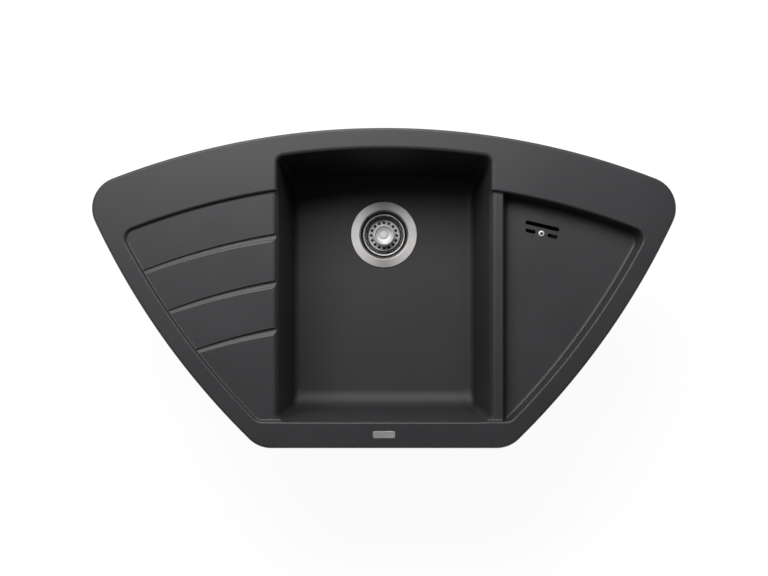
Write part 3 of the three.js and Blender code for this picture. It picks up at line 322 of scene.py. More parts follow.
def lineEdge(x, y, nx, ny):
    return Settings(steps=1, inside=lambda p: ((p.x - x) * nx + (p.y - y) * ny, nx, ny))


def arcEdge(centre, radius, steps):
    def inside(p):
        away = centre - p
        return radius - away.length, away.x / away.length, away.y / away.length
    return Settings(steps=steps, inside=inside, centre=centre, radius=radius)


def arcHeight(centre, radius, x):
    return centre.y + sqrt(radius ** 2 - (x - centre.x) ** 2)


def sideCentreOf(a, b, radius):
    half = (b - a) / 2
    rise = sqrt(radius ** 2 - half.length_squared) / half.length
    return a + half + Vector((-half.y, half.x)) * rise


def mirrored(p):
    return Vector((-p.x, p.y))


frontCorner = Vector((rim.frontSpan / 2, frontY))
backX = rim.backSpan / 2
backCorner = Vector((backX, arcHeight(backCentre, rim.backRadius, backX)))
leftCorner = mirrored(backCorner)
leftFront = mirrored(frontCorner)
sideCentre = sideCentreOf(frontCorner, backCorner, rim.sideRadius)


def front(inset):
    return lineEdge(0, frontY + inset, 0, 1)


def back(inset, steps=48):
    return arcEdge(backCentre, rim.backRadius - inset, steps)


def rightSide(inset):
    return arcEdge(sideCentre, rim.sideRadius - inset, 24)


def leftSide(inset):
    return arcEdge(mirrored(sideCentre), rim.sideRadius - inset, 24)


# The point a deep inside one edge and b deep inside another, found from one near it.
def crossing(edgeA, a, edgeB, b, near):
    p = near.copy()
    for _ in range(20):
        f, fx, fy = edgeA.inside(p)
        g, gx, gy = edgeB.inside(p)
        scale = fx * gy - fy * gx
        p.x += ((a - f) * gy - (b - g) * fy) / scale
        p.y += ((b - g) * fx - (a - f) * gx) / scale
    return p


def facing(edge, p):
    _, nx, ny = edge.inside(p)
    return atan2(-ny, -nx)


def pick(value, i):
    return value[i] if isinstance(value, (list, tuple)) else value


def makePlan(edges, starts, cornerSteps):
    after = edges[1:] + edges[:1]
    corners = [crossing(a, 0, b, 0, s) for a, b, s in zip(edges, after, starts)]
    return Settings(edges=edges, corners=corners, cornerSteps=cornerSteps)


# The plan's edges moved inwards and its corners rounded: corner i follows edge i.
def outline(plan, inset, radius):
    edges, steps = plan.edges, plan.cornerSteps
    arcs, points = [], []
    for i, edge in enumerate(edges):
        after = (i + 1) % len(edges)
        r = pick(radius, i)
        centre = crossing(
            edge, pick(inset, i) + r, edges[after], pick(inset, after) + r, plan.corners[i])
        start = facing(edge, centre)
        sweep = (facing(edges[after], centre) - start) % (2 * pi)
        arcs.append([centre + r * pointing(start + sweep * k / steps) for k in range(steps + 1)])
    for i, edge in enumerate(edges):
        if "centre" in edge:
            begin = arcs[i - 1][-1] - edge.centre
            end = arcs[i][0] - edge.centre
            a, b = atan2(begin.y, begin.x), atan2(end.y, end.x)
            r = edge.radius - pick(inset, i)
            for k in range(1, edge.steps):
                points.append(edge.centre + r * pointing(a + (b - a) * k / edge.steps))
        points += arcs[i]
    return points


def level(points, z):
    return [Vector((p.x, p.y, z)) for p in points]


def planRing(plan, inset, radius, z):
    return level(outline(plan, inset, radius), z)


def sloped(points, zAt):
    return [Vector((p.x, p.y, zAt(p))) for p in points]


# bmesh helpers
def ringEdges(bm, ring):
    return [bm.edges.get((a, b)) for a, b in zip(ring, ring[1:] + ring[:1])]


def startRing(bm, points):
    ring = [bm.verts.new(p) for p in points]
    for a, b in zip(ring, ring[1:] + ring[:1]):
        bm.edges.new((a, b))
    return ring


# Extrudes a ring and moves each new vertex to its place in the next one.
def growRing(bm, ring, points):
    made = bmesh.ops.extrude_edge_only(bm, edges=ringEdges(bm, ring))["geom"]
    fresh = {v for v in made if isinstance(v, bmesh.types.BMVert)}
    grown = []
    for vert, point in zip(ring, points):
        twin = next(e.other_vert(vert) for e in vert.link_edges if e.other_vert(vert) in fresh)
        twin.co = point
        grown.append(twin)
    return grown


def pointOut(bm):
    bmesh.ops.recalc_face_normals(bm, faces=bm.faces[:])
    return bm


def loft(rings, closed=False):
    bm = bmesh.new()
    first = ring = startRing(bm, rings[0])
    for points in rings[1:] + rings[:closed]:
        ring = growRing(bm, ring, points)
    if closed:
        bmesh.ops.remove_doubles(bm, verts=bm.verts[:], dist=1e-3)
    else:
        for end in (first, ring):
            bmesh.ops.contextual_create(bm, geom=ringEdges(bm, end))
    return pointOut(bm)


# Turns the whole profile about z, rising by the pitch at each step.
def spun(bm, turns, steps, pitch, merge):
    bmesh.ops.spin(
        bm, geom=bm.verts[:] + bm.edges[:], cent=(0, 0, 0), axis=(0, 0, 1), dvec=(0, 0, pitch),
        angle=2 * pi * turns, steps=steps, use_merge=merge, use_duplicate=False)


# A turned shape about z from (radius, z) points. Off the axis, its profile is closed.
def turned(profile, steps=72, soft=0.0, softSteps=2):
    bm = bmesh.new()
    verts = [bm.verts.new((r, 0, z)) for r, z in profile]
    pairs = list(zip(verts, verts[1:]))
    if profile[0][0] > 0:
        pairs.append((verts[-1], verts[0]))
    for a, b in pairs:
        bm.edges.new((a, b))
    if soft:
        bmesh.ops.bevel(
            bm, geom=[v for v in verts if len(v.link_edges) == 2], offset=soft, affect="VERTICES",
            segments=softSteps, profile=0.5, material=-1, clamp_overlap=True)
    spun(bm, 1, steps, 0, True)
    bmesh.ops.remove_doubles(bm, verts=bm.verts[:], dist=1e-4)
    return pointOut(bm)


def rod(radius, low, high, steps=48, soft=0.0):
    return turned([(0, low), (radius, low), (radius, high), (0, high)], steps, soft)


def tube(inner, outer, low, high, steps=48, soft=0.0):
    return turned([(inner, low), (outer, low), (outer, high), (inner, high)], steps, soft)


def block(length, width, height, centre=(0, 0, 0), soft=0.0):
    bm = bmesh.new()
    bmesh.ops.create_cube(bm, size=1.0)
    bmesh.ops.scale(bm, verts=bm.verts[:], vec=(length, width, height))
    bmesh.ops.translate(bm, verts=bm.verts[:], vec=centre)
    if soft:
        bmesh.ops.bevel(
            bm, geom=bm.edges[:], offset=soft, affect="EDGES", segments=3, profile=0.5, material=-1)
    return bm


def roundedRectangle(length, width, radius, steps=8):
    points = []
    x, y = length / 2 - radius, width / 2 - radius
    for cx, cy, start in ((x, -y, -90), (x, y, 0), (-x, y, 90), (-x, -y, 180)):
        for k in range(steps + 1):
            angle = radians(start + 90 * k / steps)
            points.append(Vector((cx + radius * cos(angle), cy + radius * sin(angle))))
    return [p for p, q in zip(points, points[1:] + points[:1]) if (p - q).length > 1e-4]


# The rounded rectangle of a piece's sizes, grown all round.
def grownRectangle(sizes, grow):
    return roundedRectangle(
        sizes.length + 2 * grow, sizes.width + 2 * grow, sizes.corner + grow)


def slab(points, low, high):
    return loft([level(points, low), level(points, high)])


def polygon(radius, sides):
    angles = [2 * pi * i / sides for i in range(sides)]
    return [Vector((radius * cos(angle), radius * sin(angle))) for angle in angles]


def placing(x=0.0, y=0.0, z=0.0, turn=0.0, axis="Z"):
    return Matrix.Translation((x, y, z)) @ Matrix.Rotation(turn, 4, axis)


def moved(bm, *where, **turning):
    bmesh.ops.transform(bm, matrix=placing(*where, **turning), verts=bm.verts[:])
    return bm


def rodAt(at, *sizes):
    return moved(rod(*sizes), *at)


# Copies of a shape, turned to their places round the axis.
def around(count, make, start=0.0):
    return [moved(make(), turn=2 * pi * (i + start) / count) for i in range(count)]


def merged(*parts):
    whole = bmesh.new()
    for part in parts:
        spare = bpy.data.meshes.new("spare")
        part.to_mesh(spare)
        part.free()
        whole.from_mesh(spare)
        bpy.data.meshes.remove(spare)
    return whole


def asObject(bm, name):
    mesh = bpy.data.meshes.new(name)
    bm.to_mesh(mesh)
    bm.free()
    return addObject(name, mesh)


# Joins and cuts solids with live modifiers, then keeps the result as a bmesh.
def carved(bm, steps):
    whole = asObject(bm, "carving")
    tools = []
    for operation, tool in steps:
        tools.append(asObject(tool, "tool"))
        cut = whole.modifiers.new(operation, "BOOLEAN")
        cut.operation = operation
        cut.solver = "MANIFOLD"
        cut.object = tools[-1]
    bpy.context.view_layer.update()
    shaped = whole.evaluated_get(bpy.context.evaluated_depsgraph_get())
    result = bmesh.new()
    result.from_mesh(shaped.to_mesh())
    shaped.to_mesh_clear()
    for item in [whole] + tools:
        mesh = item.data
        bpy.data.objects.remove(item)
        bpy.data.meshes.remove(mesh)
    return result


def cuts(*tools):
    return [("DIFFERENCE", tool) for tool in tools]


def joins(*tools):
    return [("UNION", tool) for tool in tools]


def keeps(tool):
    return [("INTERSECT", tool)]


# Makes a finished piece: metres, shading by angle, material, body and the node it stands for.
def finishPiece(bm, name, look, place=None, body="root", sharp=38.0, weigh=True):
    material, slot = looks[look]
    bmesh.ops.remove_doubles(bm, verts=bm.verts[:], dist=1e-4)
    if place is not None:
        bmesh.ops.transform(bm, matrix=place, verts=bm.verts[:])
    bmesh.ops.scale(bm, verts=bm.verts[:], vec=(mm, mm, mm))
    for face in bm.faces:
        face.smooth = True
    for edge in bm.edges:
        edge.smooth = edge.is_manifold and edge.calc_face_angle(0) < radians(sharp)
    piece = asObject(bm, "look." + name)
    piece.data.materials.append(material)
    if weigh:
        even = piece.modifiers.new("weighted normals", "WEIGHTED_NORMAL")
        even.keep_sharp = True
        even.weight = 50
    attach(piece, body)
    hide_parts(name)


# where the strainer and the overflow are, and the looks with their slots
strainer = Settings(
    fromCrown=163.5, hole=90.0, flange=114.0, thickness=1.4, proud=0.4, seal=1.2)
overflow = Settings(
    x=254.1, fromCrown=167.4, turn=-13.25, flat=34.0, hole=3.1,
    slots=[(-1.5, 12.6, 56.0, 6.4), (-18.2, 0.0, 17.0, 6.0), (18.2, 0.0, 17.0, 6.0)],
)
drain = Vector((0, crownY - strainer.fromCrown))
overflowAt = Vector((overflow.x, crownY - overflow.fromCrown))
overflowAngle = radians(overflow.turn)
atDrain = placing(*drain)
atOverflow = placing(*overflowAt, turn=overflowAngle)

looks = {
    "stone": (stoneMaterial(), "composite"),
    "flange": (lathedSteelWithPaintedLight("flange", drain), "brushed_steel"),
    "cup": (lathedSteelWithPaintedLight("cup", drain), "polished_steel"),
    "knob": (lathedSteelWithPaintedLight("knob", drain), "polished_steel"),
    "screw": (lathedSteelWithPaintedLight("screw", overflowAt), "brushed_steel"),
    "plate": (plateSteel(), "brushed_steel"),
    "polished": (polishedSteel(), "polished_steel"),
    "zinc": (zincSteel(), "zinc_steel"),
    "brass": (mottled("brass"), "brass"),
    "black": (mottled("blackPlastic"), "black_plastic"),
    "grey": (mottled("greyPlastic"), "grey_plastic"),
    "rubber": (mottled("rubber"), "rubber"),
    "foam": (foamMaterial(), "foam"),
}
print("materials made")

# sink body
ledges = Settings(front=43.0, side=29.9, back=86.4)
recess = Settings(depth=6.0, round=4.0, fillet=3.5, corners=[18.0, 16.0, 16.0, 18.0])
bowl = Settings(
    width=340.0, backLedge=34.5, depth=190.0, corner=11.0, round=6.0,
    roundWidths=[4.2, 6.0, 6.5, 6.0], drainerRound=8.5, drafts=[2.5, 5.0, 9.0, 5.0],
    fillets=[30.0, 12.0, 30.0, 12.0],
)
halfBowl = Settings(
    ridge=20.7, ridgeRound=2.5, depth=35.0, draft=12.0, sideDraft=5.0, fillet=5.0,
    corners=[16.0, 2.5, 3.0],
)
shell = Settings(wall=9.0, floor=10.0, fall=0.01)
groove = Settings(
    count=3, first=67.1, spacing=73.7, width=13.5, steep=3.0, bed=2.0,
    shallow=1.6, deep=3.4, taper=0.6,
)
badge = Settings(
    length=35.5, width=11.2, thickness=0.8, corner=2.0, soft=0.25, pocket=0.6,
    inset=21.8)
tap = Settings(hole=35.0, skin=3.0, spacing=460.0, inset=42.0)
seal = Settings(inset=5.0, width=5.0, depth=2.0, soft=0.3)
clampSet = Settings(  # front and back: how far in from the edge and how far from the middle
    front=(24, 120), back=(34, 310), corner=44,
    margin=5.0, boss=8.0, bossLow=-24.0, anchor=4.6, anchorLength=8.0,
)

wall = shell.wall
recessZ = rimTop - recess.depth
bowlZ = rimTop - bowl.depth
halfZ = rimTop - halfBowl.depth
bowlUnderside = bowlZ - shell.floor
halfUnderside = halfZ - wall
flangeZ = bowlZ + strainer.proud
seatLow = bowlZ - (strainer.thickness - strainer.proud + strainer.seal + 2 * gap)
anchorTop = clampSet.bossLow + clampSet.anchorLength
bowlHalf = bowl.width / 2
halfLeft = bowlHalf + halfBowl.ridge

corners = [frontCorner, backCorner, leftCorner, leftFront]
rimPlan = makePlan([front(0), rightSide(0), back(0), leftSide(0)], corners, 16)
recessPlan = makePlan(
    [front(ledges.front), rightSide(ledges.side), back(ledges.back), leftSide(ledges.side)],
    corners, 10)
bowlPlan = makePlan(
    [front(ledges.front), lineEdge(bowlHalf, 0, -1, 0), back(bowl.backLedge, 24),
     lineEdge(-bowlHalf, 0, 1, 0)],
    [Vector((x, y)) for x, y in (
        (bowlHalf, frontY), (bowlHalf, crownY), (-bowlHalf, crownY), (-bowlHalf, frontY))], 10)
halfPlan = makePlan(
    [rightSide(ledges.side), back(ledges.back, 12), lineEdge(halfLeft, 0, 1, 0)],
    [backCorner, Vector((halfLeft, crownY)), Vector((halfLeft, frontY))], 10)


def rimRing(inset, z):
    return planRing(rimPlan, inset, rim.corner - inset, z)


def quarter(radius, height):
    return radius - sqrt(max(0.0, radius ** 2 - (radius - height) ** 2))


def shares(count):
    return [k / count for k in range(count + 1)]


# How far a quarter round of radius 1 has gone out and up at each step.
def rounding(count):
    return [(1 - cos(share * pi / 2), sin(share * pi / 2)) for share in shares(count)]


# The floor's fall at a level. Up a fillet its share fades out.
def fallTo(centre, flat, z, share=1.0):
    return lambda p: z + share * shell.fall * max(0.0, (p - centre).length - flat)


def circleUnder(points, centre, radius):
    return [centre + (p - centre).normalized() * radius for p in points]


def wallInsets(top, foot, drafts, fillets, grow, z):
    insets = []
    for draft, radius in zip(drafts, fillets):
        height = z - foot
        fillet = quarter(radius + grow, height) if height < radius + grow else 0.0
        insets.append(max(0.0, top - z) * tan(radians(draft)) + fillet - grow)
    return insets


def filletLevels(foot, radius, steps):
    return [foot + radius * out for out, _ in rounding(steps)]


# A floor that falls to its drain, and the fillet round it.
def floorRings(lineAt, centre, flat, foot, fillet, steps):
    floorLine = lineAt(foot)
    rings = [
        level(circleUnder(floorLine, centre, flat), foot),
        sloped(floorLine, fallTo(centre, flat, foot))]
    for z in filletLevels(foot, fillet, steps)[1:]:
        rings.append(sloped(lineAt(z), fallTo(centre, flat, z, 1 - (z - foot) / fillet)))
    return rings


def bowlInsets(z, grow=0.0):
    foot = bowlZ - (shell.floor if grow else 0.0)
    return wallInsets(rimTop - bowl.round, foot, bowl.drafts, bowl.fillets, grow, z)


def bowlHollow():
    def lineAt(z):
        return outline(bowlPlan, bowlInsets(z), bowl.corner)

    def flared(share, z):
        insets = [-width * share for width in bowl.roundWidths]
        return planRing(bowlPlan, insets, bowl.corner + bowl.roundWidths[1] * share, z)

    seat = strainer.flange / 2 + 2 * gap
    top = rimTop - bowl.round
    rings = floorRings(lineAt, drain, seat, bowlZ, bowl.fillets[0], 14)
    rings += [flared(out, top + bowl.round * up) for out, up in rounding(8)]
    return loft(rings + [flared(1, rimTop + 1)])


def bowlShell():
    radius = bowl.corner + wall
    rings = [
        planRing(bowlPlan, bowlInsets(z, wall), radius, z)
        for z in filletLevels(bowlUnderside, bowl.fillets[0] + wall, 12)]
    return loft(rings + [planRing(bowlPlan, -wall, radius, 1)])


stepAngle = acos(1 - recess.depth / (recess.round + recess.fillet))
stepDraft = 90 - degrees(stepAngle)
stepFoot = recess.fillet * sin(stepAngle)
stepMiddle = rimTop - recess.round * (1 - cos(stepAngle))


def recessHollow():
    def stepRing(radius, z, angle):
        inset = radius * (sin(stepAngle) - sin(angle))
        radii = [max(r - inset, 1) for r in recess.corners]
        return planRing(recessPlan, inset, radii, z + radius * (1 - cos(angle)))

    rings = [stepRing(recess.fillet, recessZ, stepAngle * share) for share in shares(6)]
    for share in shares(6)[1:]:
        rings.append(stepRing(-recess.round, rimTop, stepAngle * (1 - share)))
    return loft(rings + [stepRing(-recess.round, rimTop + 1, 0)])


# Keeps only what lies inside the recess.
def inRecess(bm, inset, low, high):
    return carved(bm, keeps(slab(outline(recessPlan, inset, recess.corners), low, high)))


# The rounding where the drainer and the ridge meet the main bowl.
def drainerEdge():
    def flared(flare, z):
        return planRing(bowlPlan, -flare, bowl.corner + flare, z)

    r = bowl.drainerRound
    rings = [flared(r * out, recessZ - r + r * up) for out, up in rounding(10)]
    return inRecess(loft(rings + [flared(r, rimTop + 1)]), stepFoot, recessZ - r - 1, rimTop)


def halfInsets(z):
    walls = wallInsets(
        stepMiddle, halfZ, [halfBowl.sideDraft, stepDraft], [halfBowl.fillet] * 2, 0.0, z)
    ridgeFoot = recessZ - halfBowl.ridgeRound
    if z < ridgeFoot:
        return walls + wallInsets(ridgeFoot, halfZ, [halfBowl.draft], [halfBowl.fillet], 0.0, z)
    return walls + [-quarter(halfBowl.ridgeRound, max(0.0, recessZ - z))]


def halfHollow():
    def lineAt(z):
        return outline(halfPlan, halfInsets(z), halfBowl.corners)

    rings = floorRings(lineAt, overflowAt, overflow.flat, halfZ, halfBowl.fillet, 8)
    for z in [recessZ - halfBowl.ridgeRound * (1 - up) for _, up in rounding(6)] + [stepMiddle]:
        rings.append(level(lineAt(z), z))
    inside = [0.5, 0.5, -halfBowl.ridgeRound]
    for z in (stepMiddle + 1, rimTop + 1):
        rings.append(planRing(halfPlan, inside, halfBowl.corners, z))
    return inRecess(loft(rings), 0, halfZ - 1, rimTop + 2)


def halfShell():
    def ringAt(z, top):
        insets = wallInsets(
            recessZ, halfUnderside, [halfBowl.sideDraft, stepDraft, halfBowl.draft],
            [halfBowl.fillet] * 3, wall, z)
        return planRing(halfPlan, insets, [r + wall for r in halfBowl.corners], top)

    rings = [ringAt(z, z) for z in filletLevels(halfUnderside, halfBowl.fillet + wall, 8)]
    return loft(rings + [ringAt(recessZ, 1)])


def recessShell():
    radii = [r + wall for r in recess.corners]
    low = recessZ - wall
    rings = [
        planRing(recessPlan, quarter(rim.round, z - low) - wall, radii, z)
        for z in filletLevels(low, rim.round, 6)]
    return loft(rings + [planRing(recessPlan, -wall, radii, 1)])


def rimPlate():
    rings = [rimRing(rim.chamfer, 0), rimRing(0, rim.chamfer)]
    for out, up in rounding(8):
        rings.append(rimRing(rim.round * out, rimTop - rim.round * (1 - up)))
    return loft(rings)


# One groove: a steep side towards the back, a bed, and a gentle side towards the front. It opens
# into the foot of the step and into the bowl.
def drainerGroove(number):
    radius = rim.backRadius - ledges.back - groove.first - number * groove.spacing
    ridge = arcEdge(backCentre, radius, 1)
    outer = crossing(
        leftSide(ledges.side), -recess.round, ridge, 0, leftCorner.lerp(leftFront, 0.5))
    begin = atan2(outer.y - backCentre.y, outer.x - backCentre.x)
    end = acos((1 - bowlHalf) / radius)
    rings = []
    for share in shares(28):
        depth = groove.shallow + (groove.deep - groove.shallow) * share
        scale = groove.taper + (1 - groove.taper) * share
        width, steep = groove.width * scale, groove.steep * scale
        bed = steep + groove.bed * scale
        profile = [
            (-0.6, 1.0), (0.0, 0.0), (steep * 0.4, -depth * 0.55), (steep, -depth), (bed, -depth)]
        for along in shares(5)[1:-1]:
            drop = depth * (0.5 + 0.5 * cos(pi * along))
            profile.append((bed + (width - bed) * along, -drop))
        ring = []
        for inwards, rise in profile + [(width, 0.0), (width + 0.6, 1.0)]:
            away = (radius - inwards) * pointing(begin + (end - begin) * share)
            ring.append(Vector((backCentre.x + away.x, backCentre.y + away.y, recessZ + rise)))
        rings.append(ring)
    return inRecess(loft(rings), stepFoot / 2, recessZ - groove.deep - 1, rimTop)


def byOverflow(along, across):
    return overflowAt + Matrix.Rotation(overflowAngle, 2) @ Vector((along, across))


def overflowCuts():
    low, high = halfUnderside - 1, halfZ + 1
    tools = []
    for along, across, length, width in overflow.slots:
        at = byOverflow(along, across)
        shape = roundedRectangle(length, width, width / 2 - 0.01)
        tools.append(moved(slab(shape, low, high), at.x, at.y, 0, overflowAngle))
    return tools + [rodAt(overflowAt, overflow.hole, low, high, 32)]


def clampAt(edge, spot, side, near):
    inset, x = clampSet[spot]
    p = crossing(edge, inset, lineEdge(side * x, 0, 1, 0), 0, near)
    return p, facing(edge, p), inset


def clampInCorner(edgeA, edgeB, near):
    centre = crossing(edgeA, rim.corner, edgeB, rim.corner, near)
    _, ax, ay = edgeA.inside(centre)
    _, bx, by = edgeB.inside(centre)
    outwards = atan2(-ay - by, -ax - bx)
    reach = rim.corner - clampSet.corner
    return centre + reach * pointing(outwards), outwards, clampSet.corner


clampPlaces = {
    "front_left": clampAt(front(0), "front", -1, leftFront),
    "front_right": clampAt(front(0), "front", 1, frontCorner),
    "corner_right": clampInCorner(rightSide(0), back(0), backCorner),
    "back_right": clampAt(back(0), "back", 1, backCorner),
    "back_left": clampAt(back(0), "back", -1, leftCorner),
    "corner_left": clampInCorner(back(0), leftSide(0), leftCorner),
}


def sinkBody():
    low, places = clampSet.bossLow, [at for at, _, _ in clampPlaces.values()]
    bosses = [rodAt(at, clampSet.boss, low, 1, 40, 0.8) for at in places]
    anchorHoles = [
        rodAt(at, clampSet.anchor + gap, low - 1, anchorTop + gap, 32) for at in places]
    tapHoles = []
    for x in (-tap.spacing / 2, tap.spacing / 2):
        y = arcHeight(backCentre, rim.backRadius - tap.inset, x)
        tapHoles.append(rodAt((x, y), tap.hole / 2, -1, rimTop - tap.skin, 64))
    near, far, deep = seal.inset, seal.inset + seal.width, seal.depth
    sealGroove = loft([
        rimRing(near, -1), rimRing(near, deep), rimRing(far, deep), rimRing(far, -1)], closed=True)
    pocket = moved(
        slab(grownRectangle(badge, gap), rimTop - badge.pocket, rimTop + 1),
        0, frontY + badge.inset)
    seat = rodAt(drain, strainer.flange / 2 + 2 * gap, seatLow, bowlZ + 1, 96)
    bore = rodAt(drain, strainer.hole / 2, bowlUnderside - 1, bowlZ, 96)
    grooves = [drainerGroove(i) for i in range(groove.count)]
    return carved(
        rimPlate(),
        joins(recessShell(), halfShell(), bowlShell(), *bosses)
        + cuts(recessHollow(), halfHollow(), bowlHollow(), sealGroove, pocket, seat, bore,
               drainerEdge(), *grooves, *overflowCuts(), *anchorHoles, *tapHoles))


finishPiece(sinkBody(), "sink_body", "stone", sharp=32.0)
print("sink body made")


# badge and rim seal
def badgePlate():
    low, soft = rimTop - badge.pocket + gap, badge.soft
    top = low + badge.thickness
    line = grownRectangle(badge, 0)
    rings = [level(line, low), level(line, top - soft), level(grownRectangle(badge, -soft), top)]
    return moved(loft(rings), 0, frontY + badge.inset)


def rimSeal():
    near, far = seal.inset + gap, seal.inset + seal.width - gap
    high, soft = seal.depth - gap, seal.soft
    return loft([rimRing(inset, z) for inset, z in (
        (near, soft), (near, high - soft), (near + soft, high), (far - soft, high),
        (far, high - soft), (far, soft), (far - soft, 0), (near + soft, 0))], closed=True)


finishPiece(badgePlate(), "badge_plate", "plate", sharp=60)
finishPiece(rimSeal(), "rim_seal", "foam")
print("badge and seal made")

# basket strainer, levels measured down from the flange top
cup = Settings(
    mouth=41.0, sheet=1.2, throat=37.0, throatDepth=15.0, seatRadius=32.0,
    seatDepth=42.8, outlet=22.0, lip=12.2, spider=4.0, arm=5.0, hub=7.0,
)


def down(depth):
    return flangeZ - depth


def lowered(profile):
    return [(radius, down(depth)) for radius, depth in profile]


def spiderArms(low, reach):
    tall = cup.spider
    return around(3, lambda: block(reach, cup.arm, tall, (reach / 2, 0, low + tall / 2), 0.5))


spiderLow = down(cup.seatDepth + cup.lip)
spiderTop = spiderLow + cup.spider


def strainerFlange():
    radius, thick = strainer.flange / 2, strainer.thickness
    mouth, throat, seat, outlet = cup.mouth, cup.throat, cup.seatRadius, cup.outlet
    sheet, bend, deep = cup.sheet, cup.throatDepth, cup.seatDepth
    neck, end = deep - sheet, deep + cup.lip
    shape = turned(lowered([
        (radius, thick), (mouth + 2.4, thick), (mouth + sheet, thick + 1.6),
        (throat + sheet + 0.6, bend - 1), (throat + sheet, bend + 1),
        (seat + sheet + 1.5, neck - 3), (seat - 1, deep + sheet),
        (outlet + sheet, deep + sheet), (outlet + sheet, end),
        (outlet, end), (outlet, deep), (seat - 1, deep), (seat + 1.2, neck - 2.4), (throat, bend),
        (mouth - 0.6, 3), (mouth, 0.8), (mouth + 1.6, 0), (radius - 0.8, 0), (radius, thick - 0.7),
    ]), 128, 0.35, 3)
    hub = rod(cup.hub, spiderLow, spiderTop, 40, 0.5)
    return merged(shape, merged(hub, *spiderArms(spiderLow, outlet + sheet / 2)))


finishPiece(strainerFlange(), "strainer_flange", "flange", atDrain, sharp=50)

basket = Settings(
    rim=35.75, rimDepth=14.0, floor=27.0, depth=36.4, crown=4.4, sheet=1.0,
    holes=16, hole=5.0, circle=44.5, slot=3.6, slotHeight=7.0,
    knob=36.0, knobTop=7.0, knobHeight=8.0, dish=29.0, centre=12.0,
    stem=3.0, stopper=28.0, stopperThickness=3.6, nut=6.0, nutHeight=3.6,
)
stem = basket.stem
knobLow = basket.knobTop + basket.knobHeight
stopperTop = basket.depth + basket.sheet + gap
stopperLow = stopperTop + basket.stopperThickness
stemEnd = stopperLow + gap + basket.nutHeight


def basketCup():
    brim, high, base, deep = basket.rim, basket.rimDepth, basket.floor, basket.depth
    holeRing, bore, crown = basket.circle / 2, stem + gap, deep - basket.crown
    sheet, tall = basket.sheet, basket.slotHeight
    under = deep + sheet
    body = turned(lowered([
        (brim, high + 0.6), (brim - 1.2, high + sheet), (base + 3, deep - 3), (base + 0.6, under),
        (holeRing - 4, under), (bore + 4, under - basket.crown), (bore, under - basket.crown),
        (bore, crown), (bore + 4, crown), (holeRing - 4, deep), (base, deep),
        (base + 2, deep - 2.6), (brim - 2.2, high + 0.4), (brim - 1.4, high), (brim, high),
    ]), 128, 0.3, 3)
    tools = []
    for i in range(basket.holes):
        angle = 2 * pi * i / basket.holes
        hole = rod(basket.hole / 2, down(under + 1), down(deep - 1), 20)
        slot = block(
            brim - base + 4, basket.slot, tall, ((brim + base) / 2, 0, down(deep - tall / 2 - 5)))
        tools += [
            moved(moved(hole, holeRing), turn=angle), moved(slot, turn=angle + pi / basket.holes)]
    return carved(body, cuts(*tools))


def basketKnob():
    radius, top = basket.knob / 2, basket.knobTop
    dish, centre = basket.dish / 2, basket.centre / 2
    return turned(lowered([
        (0, knobLow), (stem + 3, knobLow), (radius - 3, top + 4.6), (radius - 0.4, top + 2.4),
        (radius, top + 1.4), (radius - 0.8, top + 0.3), (radius - 2, top), (dish, top + 0.4),
        (dish - 0.8, top + 1.4), (centre + 1, top + 2.6), (centre, top + 2), (0, top + 1.8),
    ]), 128, 0.35, 4)


def hexNut(hole, size, low, high):
    body = slab(polygon(size, 6), low, high)
    rounded = turned([
        (0, low), (size * 0.9, low), (size + 0.02, low + 0.7), (size + 0.02, high - 0.7),
        (size * 0.9, high), (0, high)], 60)
    return carved(body, keeps(rounded) + cuts(rod(hole, low - 1, high + 1, 40)))


basketStem = rod(stem, down(stemEnd), down(knobLow + gap), 40, 0.5)
basketStopper = tube(stem + gap, basket.stopper, down(stopperLow), down(stopperTop), 96, 0.7)
basketNut = hexNut(stem + gap, basket.nut, down(stemEnd), down(stemEnd - basket.nutHeight))
flangeSeal = tube(
    strainer.hole / 2 + gap, strainer.flange / 2 - 1.5, seatLow + gap,
    seatLow + gap + strainer.seal, 96, 0.3)
finishPiece(basketCup(), "basket_cup", "cup", atDrain, "basket", sharp=50)
finishPiece(basketKnob(), "basket_knob", "knob", atDrain, "basket", sharp=60)
finishPiece(basketStem, "basket_stem", "polished", atDrain, "basket")
finishPiece(basketStopper, "basket_stopper", "rubber", atDrain, "basket")
finishPiece(basketNut, "basket_stem_nut", "zinc", atDrain, "basket", sharp=25)
finishPiece(flangeSeal, "flange_seal", "rubber", atDrain)
print("strainer and basket made")

# waste body, its bolt and the seal above it
pot = Settings(
    seal=3.0, flange=57.0, thickness=4.0, radius=48.0, wall=3.0, height=62.0,
    neck=23.9, bore=20.0, neckHeight=26.0, cone=8.0, pitch=4.6, thread=1.2,
    turns=4.6, inletDepth=26.5, inletLength=30.0,
    grips=24, grip=(4.5, 1.8, 10), gripOut=2.0, gripDrop=4.8,
)
bolt = Settings(radius=3.0, head=6.5, headHeight=3.6, nut=5.5, nutHeight=4.0, end=1.5)
driver = Settings(slot=1.6, depth=1.4)
spigot = Settings(x=16.0, y=8.0, radius=9.7, wall=2.4, length=22.0)
hose = Settings(rib=13.5, root=11.7, pitch=4.4, cuff=28.0, bend=55.0, sides=28)

wasteTop = bowlUnderside - pot.seal - 2 * gap
flangeLow = wasteTop - pot.thickness
potLow = flangeLow - pot.height
neckTop = potLow - pot.cone
neckLow = neckTop - pot.neckHeight
potArms = potLow + bolt.nutHeight + 4
inletZ = flangeLow - pot.inletDepth
spigotAt = byOverflow(spigot.x, spigot.y)
inletWay = atan2(spigotAt.y - drain.y, spigotAt.x - drain.x)
inletEnd = pot.radius + pot.inletLength
spigotBore = spigot.radius - spigot.wall


